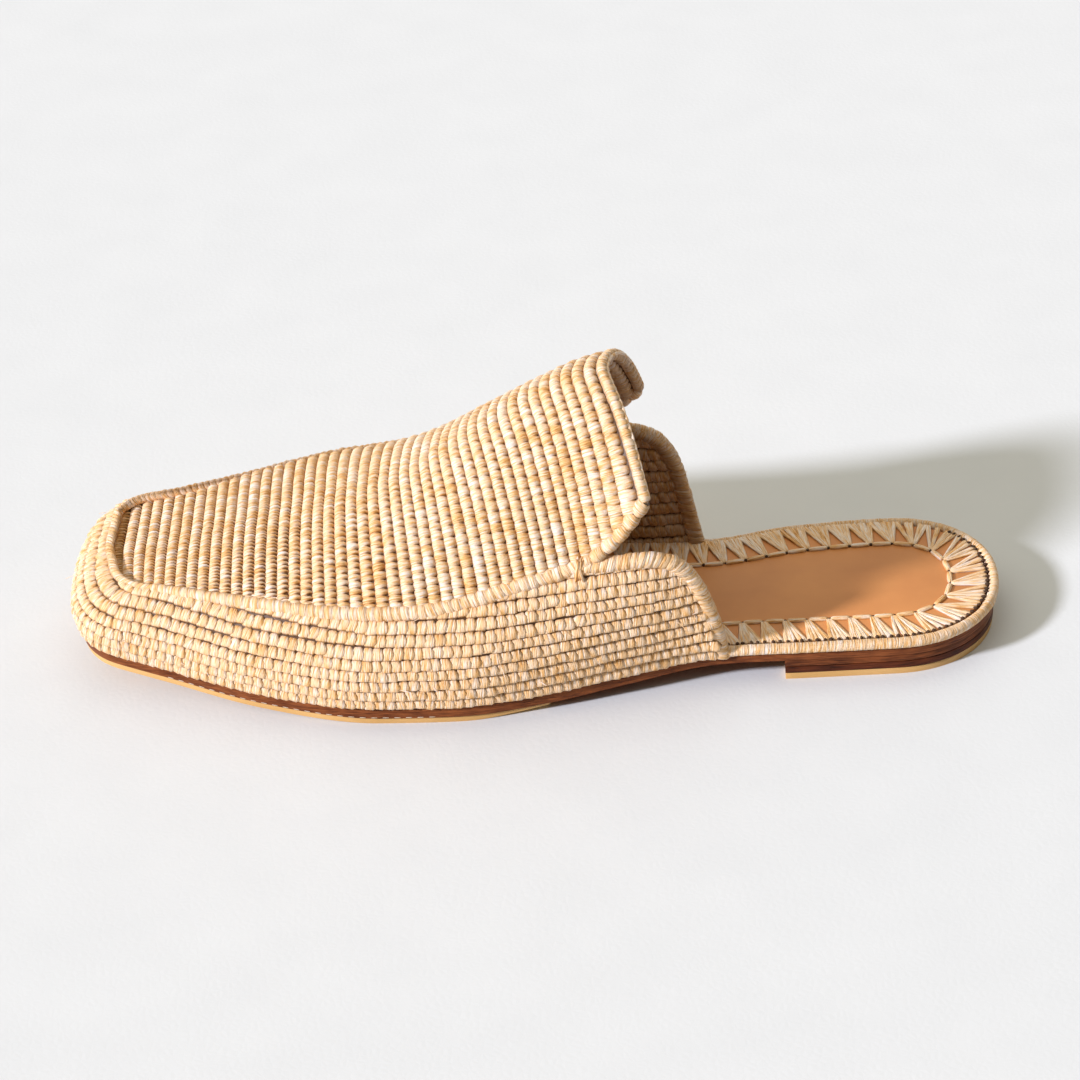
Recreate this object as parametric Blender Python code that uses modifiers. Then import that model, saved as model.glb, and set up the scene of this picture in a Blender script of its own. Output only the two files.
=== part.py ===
"""Left raffia mule: a crocheted upper on a leather sole with a low stacked heel.

The toe points to -X and the heel to +X, the lateral side is -Y and the medial side +Y.
Stations are distances from the toe tip of the sole towards the heel, in metres.
"""
import math

import bmesh
import bpy
import numpy as np

# Driving sizes
LENGTH = 0.285
GAP = 0.0003
ORIGIN_X = 0.142240
ORIGIN_Y = 0.002024

TOE_CAP = 0.016
TOE_POWER = 2.8
HEEL_CAP = 0.0317
HEEL_POWER = 2.2

RUBBER_THICK = 0.0019
RUBBER_INSET = 0.0006
RUBBER_SKIVE = (0.126, 0.148)
RUBBER_EDGE = 0.0006

HEEL_BREAST = 0.2195
TOP_LIFT_THICK = 0.0021
HEEL_LIFTS = 2
HEEL_INSET = 0.0004
TOP_LIFT_INSET = 0.0007

INSOLE_INSET = 0.0026
INSOLE_THICK = 0.0022

RIM_RADIUS = 0.0015
RIM_INSET = 0.0001
RIM_START = 0.0026

WALL_THICK = 0.0029
VALLEY_SHARE = 0.58
WALL_INSET = 0.0006
WALL_LIFT = 0.0005
WALL_SWELL = 0.0024
ROW_COUNT = 10
ROW_PITCH = 0.0042
ROW_PINCH = 0.0006
WALL_COLUMNS = 44

RIB_COUNT = 46
RIB_COLUMNS = 8
FRONT_CAP = 0.014
FRONT_POWER = 2.3
FRONT_START = 0.0035
FRONT_BOW = 0.0008
LEAN_POWER = 1.1
CROWN_POWER = 2.2

BORDER_RADIUS = 0.0025
BORDER_FOOT = 0.62
TONGUE_SIDE_RADIUS = 0.0024
TONGUE_END_RADIUS = 0.0018

# Points taken along each path, and steps along each sole layer
WING_POINTS = 25
FOOT_POINTS = 60
FRONT_POINTS = 12
SEAM_POINTS = 60
BORDER_POINTS = 38
TONGUE_SIDE_POINTS = 6
TONGUE_END_POINTS = 13
RIM_POINTS = 22
SOLE_STEPS = 56
RUBBER_STEPS = 44
HEEL_STEPS = 32
EDGE_REACH = 0.004
MERGE = 0.000001

# Sole edge: station, half width on the lateral side, half width on the medial side
OUTLINE = [
    (0.000, 0.0168, 0.0375),
    (0.030, 0.0264, 0.0412),
    (0.060, 0.0380, 0.0488),
    (0.095, 0.0468, 0.0520),
    (0.120, 0.0478, 0.0485),
    (0.142, 0.0450, 0.0415),
    (0.170, 0.0392, 0.0315),
    (0.200, 0.0333, 0.0270),
    (0.225, 0.0338, 0.0315),
    (0.250, 0.0337, 0.0330),
    (0.285, 0.0330, 0.0320),
]

# Leather sole: station, height of its underside, thickness
ARCH = [
    (0.000, 0.0117, 0.0034),
    (0.028, 0.0070, 0.0034),
    (0.050, 0.0044, 0.0034),
    (0.075, 0.0027, 0.0034),
    (0.098, 0.0022, 0.0034),
    (0.128, 0.0022, 0.0034),
    (0.150, 0.0031, 0.0033),
    (0.175, 0.0051, 0.0030),
    (0.200, 0.0067, 0.0027),
    (0.216, 0.0072, 0.0027),
    (0.285, 0.0072, 0.0027),
]

# Apron and tongue, a row for each section: crest station and height,
# then station, side and height of the lateral end and of the medial end
RIBS = [
    (0.0120, 0.0330, 0.0150, -0.0130, 0.0335, 0.0120, 0.0330, 0.0343),
    (0.0300, 0.0362, 0.0312, -0.0192, 0.0345, 0.0290, 0.0346, 0.0353),
    (0.0550, 0.0418, 0.0560, -0.0282, 0.0348, 0.0530, 0.0387, 0.0373),
    (0.0850, 0.0505, 0.0870, -0.0376, 0.0351, 0.0830, 0.0435, 0.0406),
    (0.1090, 0.0608, 0.1150, -0.0415, 0.0372, 0.1100, 0.0430, 0.0440),
    (0.1320, 0.0756, 0.1420, -0.0400, 0.0435, 0.1380, 0.0410, 0.0475),
    (0.1490, 0.0855, 0.1600, -0.0385, 0.0485, 0.1570, 0.0390, 0.0490),
    (0.1605, 0.0910, 0.1717, -0.0385, 0.0575, 0.1690, 0.0380, 0.0565),
    (0.1694, 0.0934, 0.1810, -0.0370, 0.0690, 0.1785, 0.0365, 0.0638),
]
THROAT_ROW = 6

# Free edge of each wing behind the throat: station, side, height
LATERAL_WING = [
    (0.1600, -0.0385, 0.0485),
    (0.1680, -0.0390, 0.0488),
    (0.1780, -0.0388, 0.0496),
    (0.1862, -0.0378, 0.0480),
    (0.1920, -0.0368, 0.0425),
    (0.1961, -0.0358, 0.0330),
    (0.1992, -0.0345, 0.0210),
]
MEDIAL_WING = [
    (0.1570, 0.0390, 0.0490),
    (0.1660, 0.0385, 0.0488),
    (0.1760, 0.0372, 0.0480),
    (0.1828, 0.0358, 0.0453),
    (0.1878, 0.0340, 0.0372),
    (0.1900, 0.0320, 0.0290),
    (0.1919, 0.0300, 0.0195),
]
WINGS = {-1: LATERAL_WING, 1: MEDIAL_WING}
WING_FOOT = {-1: 0.2008, 1: 0.1942}

# Finishes: colour, roughness
FINISHES = {
    "raffia": ((0.80, 0.60, 0.36), 0.6),
    "sole_leather": ((0.17, 0.05, 0.025), 0.45),
    "insole_leather": ((0.45, 0.20, 0.12), 0.5),
    "honey_rubber": ((0.72, 0.42, 0.14), 0.55),
}


def smooth(rows, column, at):
    """Read one column of a table at a station, through a soft curve that never overshoots."""
    x = np.array([row[0] for row in rows])
    y = np.array([row[column] for row in rows])
    step = np.diff(x)
    slope = np.diff(y) / step
    tangent = np.zeros(len(x))
    tangent[0], tangent[-1] = slope[0], slope[-1]
    for i in range(1, len(x) - 1):
        if slope[i - 1] * slope[i] > 0:
            before = 2 * step[i] + step[i - 1]
            after = step[i] + 2 * step[i - 1]
            tangent[i] = (before + after) / (before / slope[i - 1] + after / slope[i])
    at = min(max(at, x[0]), x[-1])
    i = min(max(int(np.searchsorted(x, at)) - 1, 0), len(x) - 2)
    t = (at - x[i]) / step[i]
    start = (2 * t**3 - 3 * t**2 + 1) * y[i] + (t**3 - 2 * t**2 + t) * step[i] * tangent[i]
    end = (3 * t**2 - 2 * t**3) * y[i + 1] + (t**3 - t**2) * step[i] * tangent[i + 1]
    return start + end


def cap(depth, radius, power):
    """Share of the full width at a depth behind a rounded end."""
    if depth >= radius:
        return 1.0
    return max(0.0, 1 - ((radius - depth) / radius) ** power) ** (1 / power)


def share_of(station):
    """Share of the way round a sole edge, from toe tip to heel, at a station."""
    return math.acos(1 - 2 * station / LENGTH) / math.pi


def edge_base(share, side):
    """Point of the sole edge in plan; side is -1 lateral or +1 medial."""
    station = LENGTH * (1 - math.cos(math.pi * share)) / 2
    lateral, medial = smooth(OUTLINE, 1, station), smooth(OUTLINE, 2, station)
    ends = cap(station, TOE_CAP, TOE_POWER) * cap(LENGTH - station, HEEL_CAP, HEEL_POWER)
    return np.array([station, (medial - lateral) / 2 + side * ends * (lateral + medial) / 2])


def edge_outward(share, side):
    """Unit direction in plan that points out of the sole at its edge."""
    ahead, behind = min(share + EDGE_REACH, 1.0), max(share - EDGE_REACH, 0.0)
    along = edge_base(ahead, side) - edge_base(behind, side)
    if share < EDGE_REACH or share > 1 - EDGE_REACH:
        return np.array([-1.0 if share < 0.5 else 1.0, 0.0])
    along /= np.linalg.norm(along)
    return np.array([-along[1], along[0]]) * side


def edge(share, side, inset):
    """Point of the sole edge moved inwards by an inset."""
    return edge_base(share, side) - edge_outward(share, side) * inset


def sole_under(station):
    return smooth(ARCH, 1, station)


def sole_top(station):
    return sole_under(station) + smooth(ARCH, 2, station)


def rubber_under(station):
    """Underside of the half sole, which is skived thin at its back end."""
    start, end = RUBBER_SKIVE
    fade = min(max((station - start) / (end - start), 0.0), 1.0)
    return sole_under(station) - GAP - RUBBER_THICK + fade * (RUBBER_THICK - RUBBER_EDGE)


def path_point(points, share):
    """Point at a share of the length of a path."""
    points = np.asarray(points)
    lengths = np.linalg.norm(np.diff(points, axis=0), axis=1)
    travelled = np.concatenate([[0.0], np.cumsum(lengths)])
    at = share * travelled[-1]
    return np.array([np.interp(at, travelled, points[:, axis]) for axis in range(3)])


def rib_rows():
    """The rib table led by each row's share of the crest's length."""
    travelled = [0.0]
    for row, after in zip(RIBS, RIBS[1:]):
        travelled.append(travelled[-1] + math.hypot(after[0] - row[0], after[1] - row[1]))
    return [(far / travelled[-1],) + row for far, row in zip(travelled, RIBS)]


RIB_ROWS = rib_rows()
THROAT_SHARE = RIB_ROWS[THROAT_ROW][0]


def apron_point(along, across):
    """Point of the apron: along 0 toe to 1 tongue end, across -1 lateral to +1 medial."""
    values = [smooth(RIB_ROWS, column, along) for column in range(1, 9)]
    crest_station, crest_height = values[0], values[1]
    lateral_side, medial_side = values[3], values[6]
    end_station, end_height = (values[2], values[4]) if across < 0 else (values[5], values[7])
    depth = crest_station - RIBS[0][0]
    width = cap(depth + FRONT_START, FRONT_CAP, FRONT_POWER)
    bow = FRONT_BOW * (1 - cap(depth, FRONT_CAP, FRONT_POWER)) * (1 - across**2)
    lean = abs(across) ** LEAN_POWER
    drop = abs(across) ** CROWN_POWER
    return np.array([
        crest_station + (end_station - crest_station) * lean - bow,
        (lateral_side + medial_side) / 2 + across * width * (medial_side - lateral_side) / 2,
        crest_height + (end_height - crest_height) * drop,
    ])


def wing_path(side):
    """Free edge of a wing, from the throat to the lower back corner."""
    rows = [(i,) + row for i, row in enumerate(WINGS[side])]
    return [np.array([smooth(rows, column, at) for column in (1, 2, 3)])
            for at in np.linspace(0, len(rows) - 1, WING_POINTS)]


def wall_foot_path(side):
    """Lower edge of the wall on the sole, from toe tip to wing end."""
    points = []
    for share in np.linspace(0, share_of(WING_FOOT[side]), FOOT_POINTS):
        station, across = edge(share, side, WALL_INSET)
        points.append(np.array([station, across, sole_top(max(station, 0.0)) + WALL_LIFT]))
    return points


def wall_top_path(side):
    """Upper edge of the wall: front of the apron, its seam, then the wing."""
    front = [apron_point(0, side * across) for across in np.linspace(0, 1, FRONT_POINTS)]
    seam = [apron_point(along, side) for along in np.linspace(0, THROAT_SHARE, SEAM_POINTS)]
    return front + seam[1:] + wing_path(side)[1:]


FOOT_PATHS = {side: wall_foot_path(side) for side in (-1, 1)}
TOP_PATHS = {side: wall_top_path(side) for side in (-1, 1)}


def wall_column(way):
    """Foot, top and swell of the wall at a way from -1 lateral end, 0 toe, to +1 medial end."""
    side = -1 if way < 0 else 1
    foot = path_point(FOOT_PATHS[side], abs(way))
    top = path_point(TOP_PATHS[side], abs(way))
    outward = edge_outward(share_of(min(max(foot[0], 0.0), LENGTH)), side)
    outward = np.array([outward[0], outward[1], 0.0])
    lean_in = -float(np.dot(top - foot, outward))
    swell = outward * (lean_in / 4 + WALL_SWELL)
    return foot, top, swell


def wall_point(way, line):
    """Point of the wall on a row line: each row has a groove line and a crest line."""
    foot, top, swell = wall_column(way)
    chord = np.linalg.norm(top - foot)
    # length of a shallow bow: its chord and 8/3 of its squared rise over the chord
    height = chord + 8 / 3 * float(np.dot(swell, swell)) / chord
    rows_up = line / 2
    climbed = min(rows_up * ROW_PITCH, height - (ROW_COUNT - rows_up) * ROW_PINCH)
    share = climbed / height if line < 2 * ROW_COUNT else 1.0
    return foot + (top - foot) * share + swell * 4 * share * (1 - share)


def placed(point):
    """Move a point from table coordinates to the part's own frame."""
    return (point[0] - ORIGIN_X, point[1] - ORIGIN_Y, point[2])


def make_material(name):
    colour, roughness = FINISHES[name]
    material = bpy.data.materials.new(name)
    material.use_nodes = True
    shader = material.node_tree.nodes["Principled BSDF"]
    shader.inputs["Base Color"].default_value = (*colour, 1.0)
    shader.inputs["Roughness"].default_value = roughness
    return material


def add_object(name, mesh, collection, finish):
    piece = bpy.data.objects.new(name, mesh)
    mesh.materials.append(bpy.data.materials[finish])
    collection.objects.link(piece)
    return piece


def make_guide(piece):
    """Mark a form that is joined into the upper and is not a part itself."""
    piece.hide_render = True
    piece.display_type = "WIRE"


def mapped_grid(name, columns, lines, place):
    """Grid whose corners are placed by a function of column number and line number."""
    bm = bmesh.new()
    bmesh.ops.create_grid(bm, x_segments=columns, y_segments=lines, size=1.0)
    for vert in bm.verts:
        column = round((vert.co.x + 1) / 2 * columns)
        line = round((vert.co.y + 1) / 2 * lines)
        vert.co = place(column, line)
    mesh = bpy.data.meshes.new(name)
    bm.to_mesh(mesh)
    bm.free()
    return mesh


def layer(name, collection, finish, ends, inset, under, over, steps):
    """Sole layer between two stations: its edge strip is raised from underside to top."""
    start, end = share_of(ends[0]), share_of(ends[1])
    bm = bmesh.new()
    bmesh.ops.create_grid(bm, x_segments=steps, y_segments=1, size=1.0)
    for vert in bm.verts:
        share = start + (end - start) * (vert.co.x + 1) / 2
        station, across = edge(share, -1 if vert.co.y < 0 else 1, inset)
        station = min(max(station, ends[0]), ends[1])
        vert.co = placed((station, across, under(station)))
    bmesh.ops.remove_doubles(bm, verts=bm.verts, dist=MERGE)
    raised = bmesh.ops.extrude_face_region(bm, geom=bm.faces[:])
    for vert in raised["geom"]:
        if isinstance(vert, bmesh.types.BMVert):
            vert.co.z = over(vert.co.x + ORIGIN_X)
    bmesh.ops.recalc_face_normals(bm, faces=bm.faces)
    mesh = bpy.data.meshes.new(name)
    bm.to_mesh(mesh)
    bm.free()
    return add_object(name, mesh, collection, finish)


def tube(name, collection, finish, points, radius, shares=None):
    """Round cord along a path, as a closed mesh; shares scale the radius point by point."""
    curve = bpy.data.curves.new(name, "CURVE")
    curve.dimensions = "3D"
    curve.bevel_depth = radius
    curve.bevel_resolution = 1
    curve.use_fill_caps = True
    spline = curve.splines.new("POLY")
    spline.points.add(len(points) - 1)
    for i, point in enumerate(points):
        spline.points[i].co = (*placed(point), 1.0)
        spline.points[i].radius = shares[i] if shares else 1.0
    cord = bpy.data.objects.new(name + "_path", curve)
    collection.objects.link(cord)
    bpy.context.view_layer.update()
    mesh = bpy.data.meshes.new_from_object(cord.evaluated_get(bpy.context.evaluated_depsgraph_get()))
    bpy.data.objects.remove(cord)
    bm = bmesh.new()
    bm.from_mesh(mesh)
    bmesh.ops.remove_doubles(bm, verts=bm.verts, dist=MERGE)
    bmesh.ops.recalc_face_normals(bm, faces=bm.faces)
    bm.to_mesh(mesh)
    bm.free()
    mesh.name = name
    mesh.materials.clear()
    return add_object(name, mesh, collection, finish)


def thicken(piece, crest_of):
    """Give a sheet its wall: full on the crest lines and thin in the grooves between them."""
    group = piece.vertex_groups.new(name="wall")
    for vert in piece.data.vertices:
        group.add([vert.index], 1.0 if crest_of(vert.index) else VALLEY_SHARE, "REPLACE")
    solid = piece.modifiers.new("wall", "SOLIDIFY")
    solid.thickness = WALL_THICK
    solid.offset = 0.0
    solid.vertex_group = "wall"


def make_wall(collection):
    """Side wall round the toe from wing to wing, with a raised strip for each crochet row."""
    lines = 2 * ROW_COUNT

    def place(column, line):
        return placed(wall_point(2 * column / WALL_COLUMNS - 1, line))

    wall = add_object("upper", mapped_grid("upper", WALL_COLUMNS, lines, place), collection, "raffia")
    thicken(wall, lambda index: (index // (WALL_COLUMNS + 1)) % 2 == 1)
    return wall


def make_apron(guides):
    """Apron and tongue, with a raised strip for each rib across the foot."""
    lines = 2 * RIB_COUNT

    def place(column, line):
        return placed(apron_point(line / lines, 2 * column / RIB_COLUMNS - 1))

    apron = add_object("apron", mapped_grid("apron", RIB_COLUMNS, lines, place), guides, "raffia")
    thicken(apron, lambda index: (index // (RIB_COLUMNS + 1)) % 2 == 1)
    return apron


def border_points():
    """Rolled border from wing foot to wing foot, along the seam round the apron."""
    lateral = TOP_PATHS[-1] + [FOOT_PATHS[-1][-1]]
    medial = TOP_PATHS[1] + [FOOT_PATHS[1][-1]]
    around = [path_point(lateral, share) for share in np.linspace(1, 0, BORDER_POINTS)]
    around += [path_point(medial, share) for share in np.linspace(0, 1, BORDER_POINTS)[1:]]
    for foot in (0, -1):
        around[foot] = around[foot] + np.array([0.0, 0.0, BORDER_RADIUS * BORDER_FOOT / 2])
    return around


def tongue_edge_points():
    """Edge of the tongue from the lateral throat round its end to the medial throat."""
    up = [apron_point(along, -1) for along in np.linspace(THROAT_SHARE, 1, TONGUE_SIDE_POINTS)]
    over = [apron_point(1, across) for across in np.linspace(-1, 1, TONGUE_END_POINTS)]
    down = [apron_point(along, 1) for along in np.linspace(1, THROAT_SHARE, TONGUE_SIDE_POINTS)]
    return up + over[1:-1] + down


def make_upper(collection, guides):
    """One hollow solid: wall, apron, seam border and tongue edge joined."""
    upper = make_wall(collection)
    border = border_points()
    shares = [BORDER_FOOT] + [1.0] * (len(border) - 2) + [BORDER_FOOT]
    end_share = TONGUE_END_RADIUS / TONGUE_SIDE_RADIUS
    tongue_side = [1.0] * TONGUE_SIDE_POINTS
    tongue_shares = tongue_side + [end_share] * (TONGUE_END_POINTS - 2) + tongue_side
    joined = [
        make_apron(guides),
        tube("seam_border", guides, "raffia", border, BORDER_RADIUS, shares),
        tube("tongue_edge", guides, "raffia", tongue_edge_points(), TONGUE_SIDE_RADIUS, tongue_shares),
    ]
    for form in joined:
        make_guide(form)
        union = upper.modifiers.new("join_" + form.name, "BOOLEAN")
        union.operation = "UNION"
        union.object = form
    return upper


def make_sole(collection):
    """Leather sole, rubber half sole, stacked heel with its top lift, and insole."""
    layer("leather_sole", collection, "sole_leather", (0.0, LENGTH), 0.0, sole_under, sole_top,
          SOLE_STEPS)
    layer("forefoot_outsole", collection, "honey_rubber", (0.0, RUBBER_SKIVE[1]), RUBBER_INSET,
          rubber_under, lambda station: sole_under(station) - GAP, RUBBER_STEPS)
    heel_ends = (HEEL_BREAST, LENGTH)
    layer("heel_top_lift", collection, "honey_rubber", heel_ends, TOP_LIFT_INSET,
          lambda station: 0.0, lambda station: TOP_LIFT_THICK, HEEL_STEPS)
    room = sole_under(LENGTH) - TOP_LIFT_THICK - GAP
    for i in range(HEEL_LIFTS):
        bottom = TOP_LIFT_THICK + GAP + room / HEEL_LIFTS * i
        top = bottom + room / HEEL_LIFTS - GAP
        layer("heel_lift_%d" % (i + 1), collection, "sole_leather", heel_ends, HEEL_INSET,
              lambda station, z=bottom: z, lambda station, z=top: z, HEEL_STEPS)
    layer("insole", collection, "insole_leather", (0.0, LENGTH), INSOLE_INSET,
          lambda station: sole_top(station) + GAP,
          lambda station: sole_top(station) + GAP + INSOLE_THICK, SOLE_STEPS)


def make_heel_rim(collection):
    """Raffia cord that edges the open heel seat from wing to wing."""
    starts = {side: share_of(WING_FOOT[side] + RIM_START) for side in (-1, 1)}
    shares = [(share, -1) for share in np.linspace(starts[-1], 1, RIM_POINTS)]
    shares += [(share, 1) for share in np.linspace(1, starts[1], RIM_POINTS)[1:]]
    points = []
    for share, side in shares:
        station, across = edge(share, side, RIM_INSET)
        points.append((station, across, sole_top(station) + GAP + RIM_RADIUS))
    tube("heel_rim_cord", collection, "raffia", points, RIM_RADIUS)


def main():
    for old in list(bpy.data.objects):
        bpy.data.objects.remove(old, do_unlink=True)
    parts = bpy.data.collections.new("raffia_mule")
    guides = bpy.data.collections.new("joined_forms")
    for collection in (parts, guides):
        bpy.context.scene.collection.children.link(collection)
    for name in FINISHES:
        make_material(name)
    make_sole(parts)
    make_upper(parts, guides)
    make_heel_rim(parts)


main()
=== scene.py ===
# %% [markdown]
# # A raffia mule, left shoe
# The imported solids are the fixed frame of this lesson. The crocheted upper is soft and full of
# stitches, so it is rebuilt here from thousands of small strands over a backing sheet, dark as painted
# shade. The sole pieces get rounded edges and worn finishes. The script starts by loading the frame
# and listing its parts, and ends by noting the box of what it shows.

import math
from collections import namedtuple

import bmesh
import bpy
import numpy as np
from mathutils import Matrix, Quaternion, Vector


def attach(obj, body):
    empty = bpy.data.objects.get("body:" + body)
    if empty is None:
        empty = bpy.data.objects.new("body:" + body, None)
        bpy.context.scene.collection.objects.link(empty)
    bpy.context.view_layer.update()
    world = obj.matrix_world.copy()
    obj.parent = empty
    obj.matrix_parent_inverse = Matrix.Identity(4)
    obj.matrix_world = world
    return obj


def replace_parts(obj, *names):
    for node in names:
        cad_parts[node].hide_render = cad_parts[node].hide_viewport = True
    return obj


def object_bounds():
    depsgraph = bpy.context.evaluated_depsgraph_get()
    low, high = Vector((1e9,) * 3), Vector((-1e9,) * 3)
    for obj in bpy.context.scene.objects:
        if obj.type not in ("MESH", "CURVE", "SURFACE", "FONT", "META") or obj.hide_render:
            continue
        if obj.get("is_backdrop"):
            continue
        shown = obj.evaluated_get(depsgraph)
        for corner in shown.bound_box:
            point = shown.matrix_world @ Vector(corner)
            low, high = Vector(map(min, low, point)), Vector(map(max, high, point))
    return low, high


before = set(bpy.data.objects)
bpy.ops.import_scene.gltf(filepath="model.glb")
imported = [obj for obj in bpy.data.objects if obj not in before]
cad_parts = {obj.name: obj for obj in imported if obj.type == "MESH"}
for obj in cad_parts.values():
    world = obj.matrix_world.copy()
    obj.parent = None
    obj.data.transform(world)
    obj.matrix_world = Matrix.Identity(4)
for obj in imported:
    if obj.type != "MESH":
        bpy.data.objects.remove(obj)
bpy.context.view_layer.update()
chance = np.random.default_rng(11)
print("frame nodes:", sorted(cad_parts))

# %% [markdown]
# ## Camera, floor and light
# The photograph looks down on the lateral side through a long lens, turned a little about the view
# axis. One low key light from the toe side throws a soft shadow past the heel, and a warm sky fills
# it. A sun lamp with a wide disc gives the same soft edge at every distance, so no lamp has to be
# placed by trial.

# %% Camera
CAMERA_PLACE = Vector((0.0792, -0.9815, 0.6705))
CAMERA_AIM = Vector((0.0036, 0.0030, 0.030))
CAMERA_ROLL = math.radians(-5.26)
CAMERA_LENS = 126.8

camera = bpy.data.objects.new("camera", bpy.data.cameras.new("camera"))
bpy.context.scene.collection.objects.link(camera)
camera.data.lens = CAMERA_LENS
camera.location = CAMERA_PLACE
camera.rotation_mode = "QUATERNION"
upright = (CAMERA_AIM - CAMERA_PLACE).to_track_quat("-Z", "Y")
camera.rotation_quaternion = upright @ Quaternion((0, 0, 1), CAMERA_ROLL)
bpy.context.scene.camera = camera
print("camera is", round((CAMERA_AIM - CAMERA_PLACE).length, 3), "m away")

# %% Light
KEY_TRAVEL = Vector((0.77, 0.43, -0.470))
KEY_STRENGTH = 3.9
KEY_SPREAD = math.radians(7)
KEY_COLOUR = (1.0, 0.99, 1.11)
SKY_COLOUR = (1.0, 0.945, 0.82, 1.0)
SKY_SLOPE = (-0.20, 0.42, 0.90)

key = bpy.data.objects.new("key", bpy.data.lights.new("key", "SUN"))
bpy.context.scene.collection.objects.link(key)
key.data.energy = KEY_STRENGTH
key.data.angle = KEY_SPREAD
key.data.color = KEY_COLOUR
key.rotation_mode = "QUATERNION"
key.rotation_quaternion = KEY_TRAVEL.to_track_quat("-Z", "Y")

sky = bpy.data.worlds.new("sky")
sky.use_nodes = True
sky_nodes, sky_links = sky.node_tree.nodes, sky.node_tree.links
sky_nodes["Background"].inputs["Color"].default_value = SKY_COLOUR
towards = sky_nodes.new("ShaderNodeTexCoord")
slope = sky_nodes.new("ShaderNodeVectorMath")
slope.operation = "DOT_PRODUCT"
slope.inputs[1].default_value = SKY_SLOPE
level = sky_nodes.new("ShaderNodeClamp")
sky_links.new(towards.outputs["Generated"], slope.inputs[0])
sky_links.new(slope.outputs["Value"], level.inputs["Value"])
sky_links.new(level.outputs["Result"], sky_nodes["Background"].inputs["Strength"])
bpy.context.scene.world = sky
bpy.context.scene.view_settings.view_transform = "Standard"
print("key light of strength", KEY_STRENGTH, "under a sloping sky")

# %% Floor
FLOOR_SIZE = 12.0

floor_form = bmesh.new()
bmesh.ops.create_grid(floor_form, x_segments=1, y_segments=1, size=FLOOR_SIZE / 2)
floor_mesh = bpy.data.meshes.new("floor")
floor_form.to_mesh(floor_mesh)
floor_form.free()
floor = bpy.data.objects.new("floor", floor_mesh)
bpy.context.scene.collection.objects.link(floor)
floor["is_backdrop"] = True
print("floor is", FLOOR_SIZE, "m wide")

# %% [markdown]
# ## The shape of the shoe
# Stations run from the toe tip towards the heel, in metres. The same short tables that shape the
# solids are repeated here, because every stitch has to know where its surface is. All functions take
# whole arrays of stations at once, which keeps thousands of stitches quick.

# %% Tables of the shoe
LATERAL, MEDIAL = -1, 1
SIDES = (LATERAL, MEDIAL)
LENGTH = 0.285
ORIGIN = np.array([0.142240, 0.002024, 0.0])
GAP = 0.0003
TOE_CAP = 0.016
TOE_POWER = 2.8
HEEL_CAP = 0.0317
HEEL_POWER = 2.2

# station, half width on the lateral side, half width on the medial side
OUTLINE = [
    (0.000, 0.0168, 0.0375),
    (0.030, 0.0264, 0.0412),
    (0.060, 0.0380, 0.0488),
    (0.095, 0.0468, 0.0520),
    (0.120, 0.0478, 0.0485),
    (0.142, 0.0450, 0.0415),
    (0.170, 0.0392, 0.0315),
    (0.200, 0.0333, 0.0270),
    (0.225, 0.0338, 0.0315),
    (0.250, 0.0337, 0.0330),
    (0.285, 0.0330, 0.0320),
]
# leather sole: station, height of its underside, thickness
ARCH = [
    (0.000, 0.0117, 0.0034),
    (0.028, 0.0070, 0.0034),
    (0.050, 0.0044, 0.0034),
    (0.075, 0.0027, 0.0034),
    (0.098, 0.0022, 0.0034),
    (0.128, 0.0022, 0.0034),
    (0.150, 0.0031, 0.0033),
    (0.175, 0.0051, 0.0030),
    (0.200, 0.0067, 0.0027),
    (0.216, 0.0072, 0.0027),
    (0.285, 0.0072, 0.0027),
]
# crest station and height, then station, side and height of the lateral and of the medial end
RIBS = [
    (0.0120, 0.0330, 0.0150, -0.0130, 0.0335, 0.0120, 0.0330, 0.0343),
    (0.0300, 0.0362, 0.0312, -0.0192, 0.0345, 0.0290, 0.0346, 0.0353),
    (0.0550, 0.0418, 0.0560, -0.0282, 0.0348, 0.0530, 0.0387, 0.0373),
    (0.0850, 0.0505, 0.0870, -0.0376, 0.0351, 0.0830, 0.0435, 0.0406),
    (0.1090, 0.0608, 0.1150, -0.0415, 0.0372, 0.1100, 0.0430, 0.0440),
    (0.1320, 0.0756, 0.1420, -0.0400, 0.0435, 0.1380, 0.0410, 0.0475),
    (0.1490, 0.0855, 0.1600, -0.0385, 0.0485, 0.1570, 0.0390, 0.0490),
    (0.1605, 0.0910, 0.1717, -0.0385, 0.0575, 0.1690, 0.0380, 0.0565),
    (0.1694, 0.0934, 0.1810, -0.0370, 0.0690, 0.1785, 0.0365, 0.0638),
]
THROAT_ROW = 6
# free edge of each wing: station, side, height
WINGS = {
    LATERAL: [
        (0.1600, -0.0385, 0.0485),
        (0.1680, -0.0390, 0.0488),
        (0.1780, -0.0388, 0.0496),
        (0.1862, -0.0378, 0.0480),
        (0.1920, -0.0368, 0.0425),
        (0.1961, -0.0358, 0.0330),
        (0.1992, -0.0345, 0.0210),
    ],
    MEDIAL: [
        (0.1570, 0.0390, 0.0490),
        (0.1660, 0.0385, 0.0488),
        (0.1760, 0.0372, 0.0480),
        (0.1828, 0.0358, 0.0453),
        (0.1878, 0.0340, 0.0372),
        (0.1900, 0.0320, 0.0290),
        (0.1919, 0.0300, 0.0195),
    ],
}
WING_FOOT = {LATERAL: 0.2008, MEDIAL: 0.1942}
print("tables:", len(OUTLINE), "outline rows,", len(RIBS), "rib rows")


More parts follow.
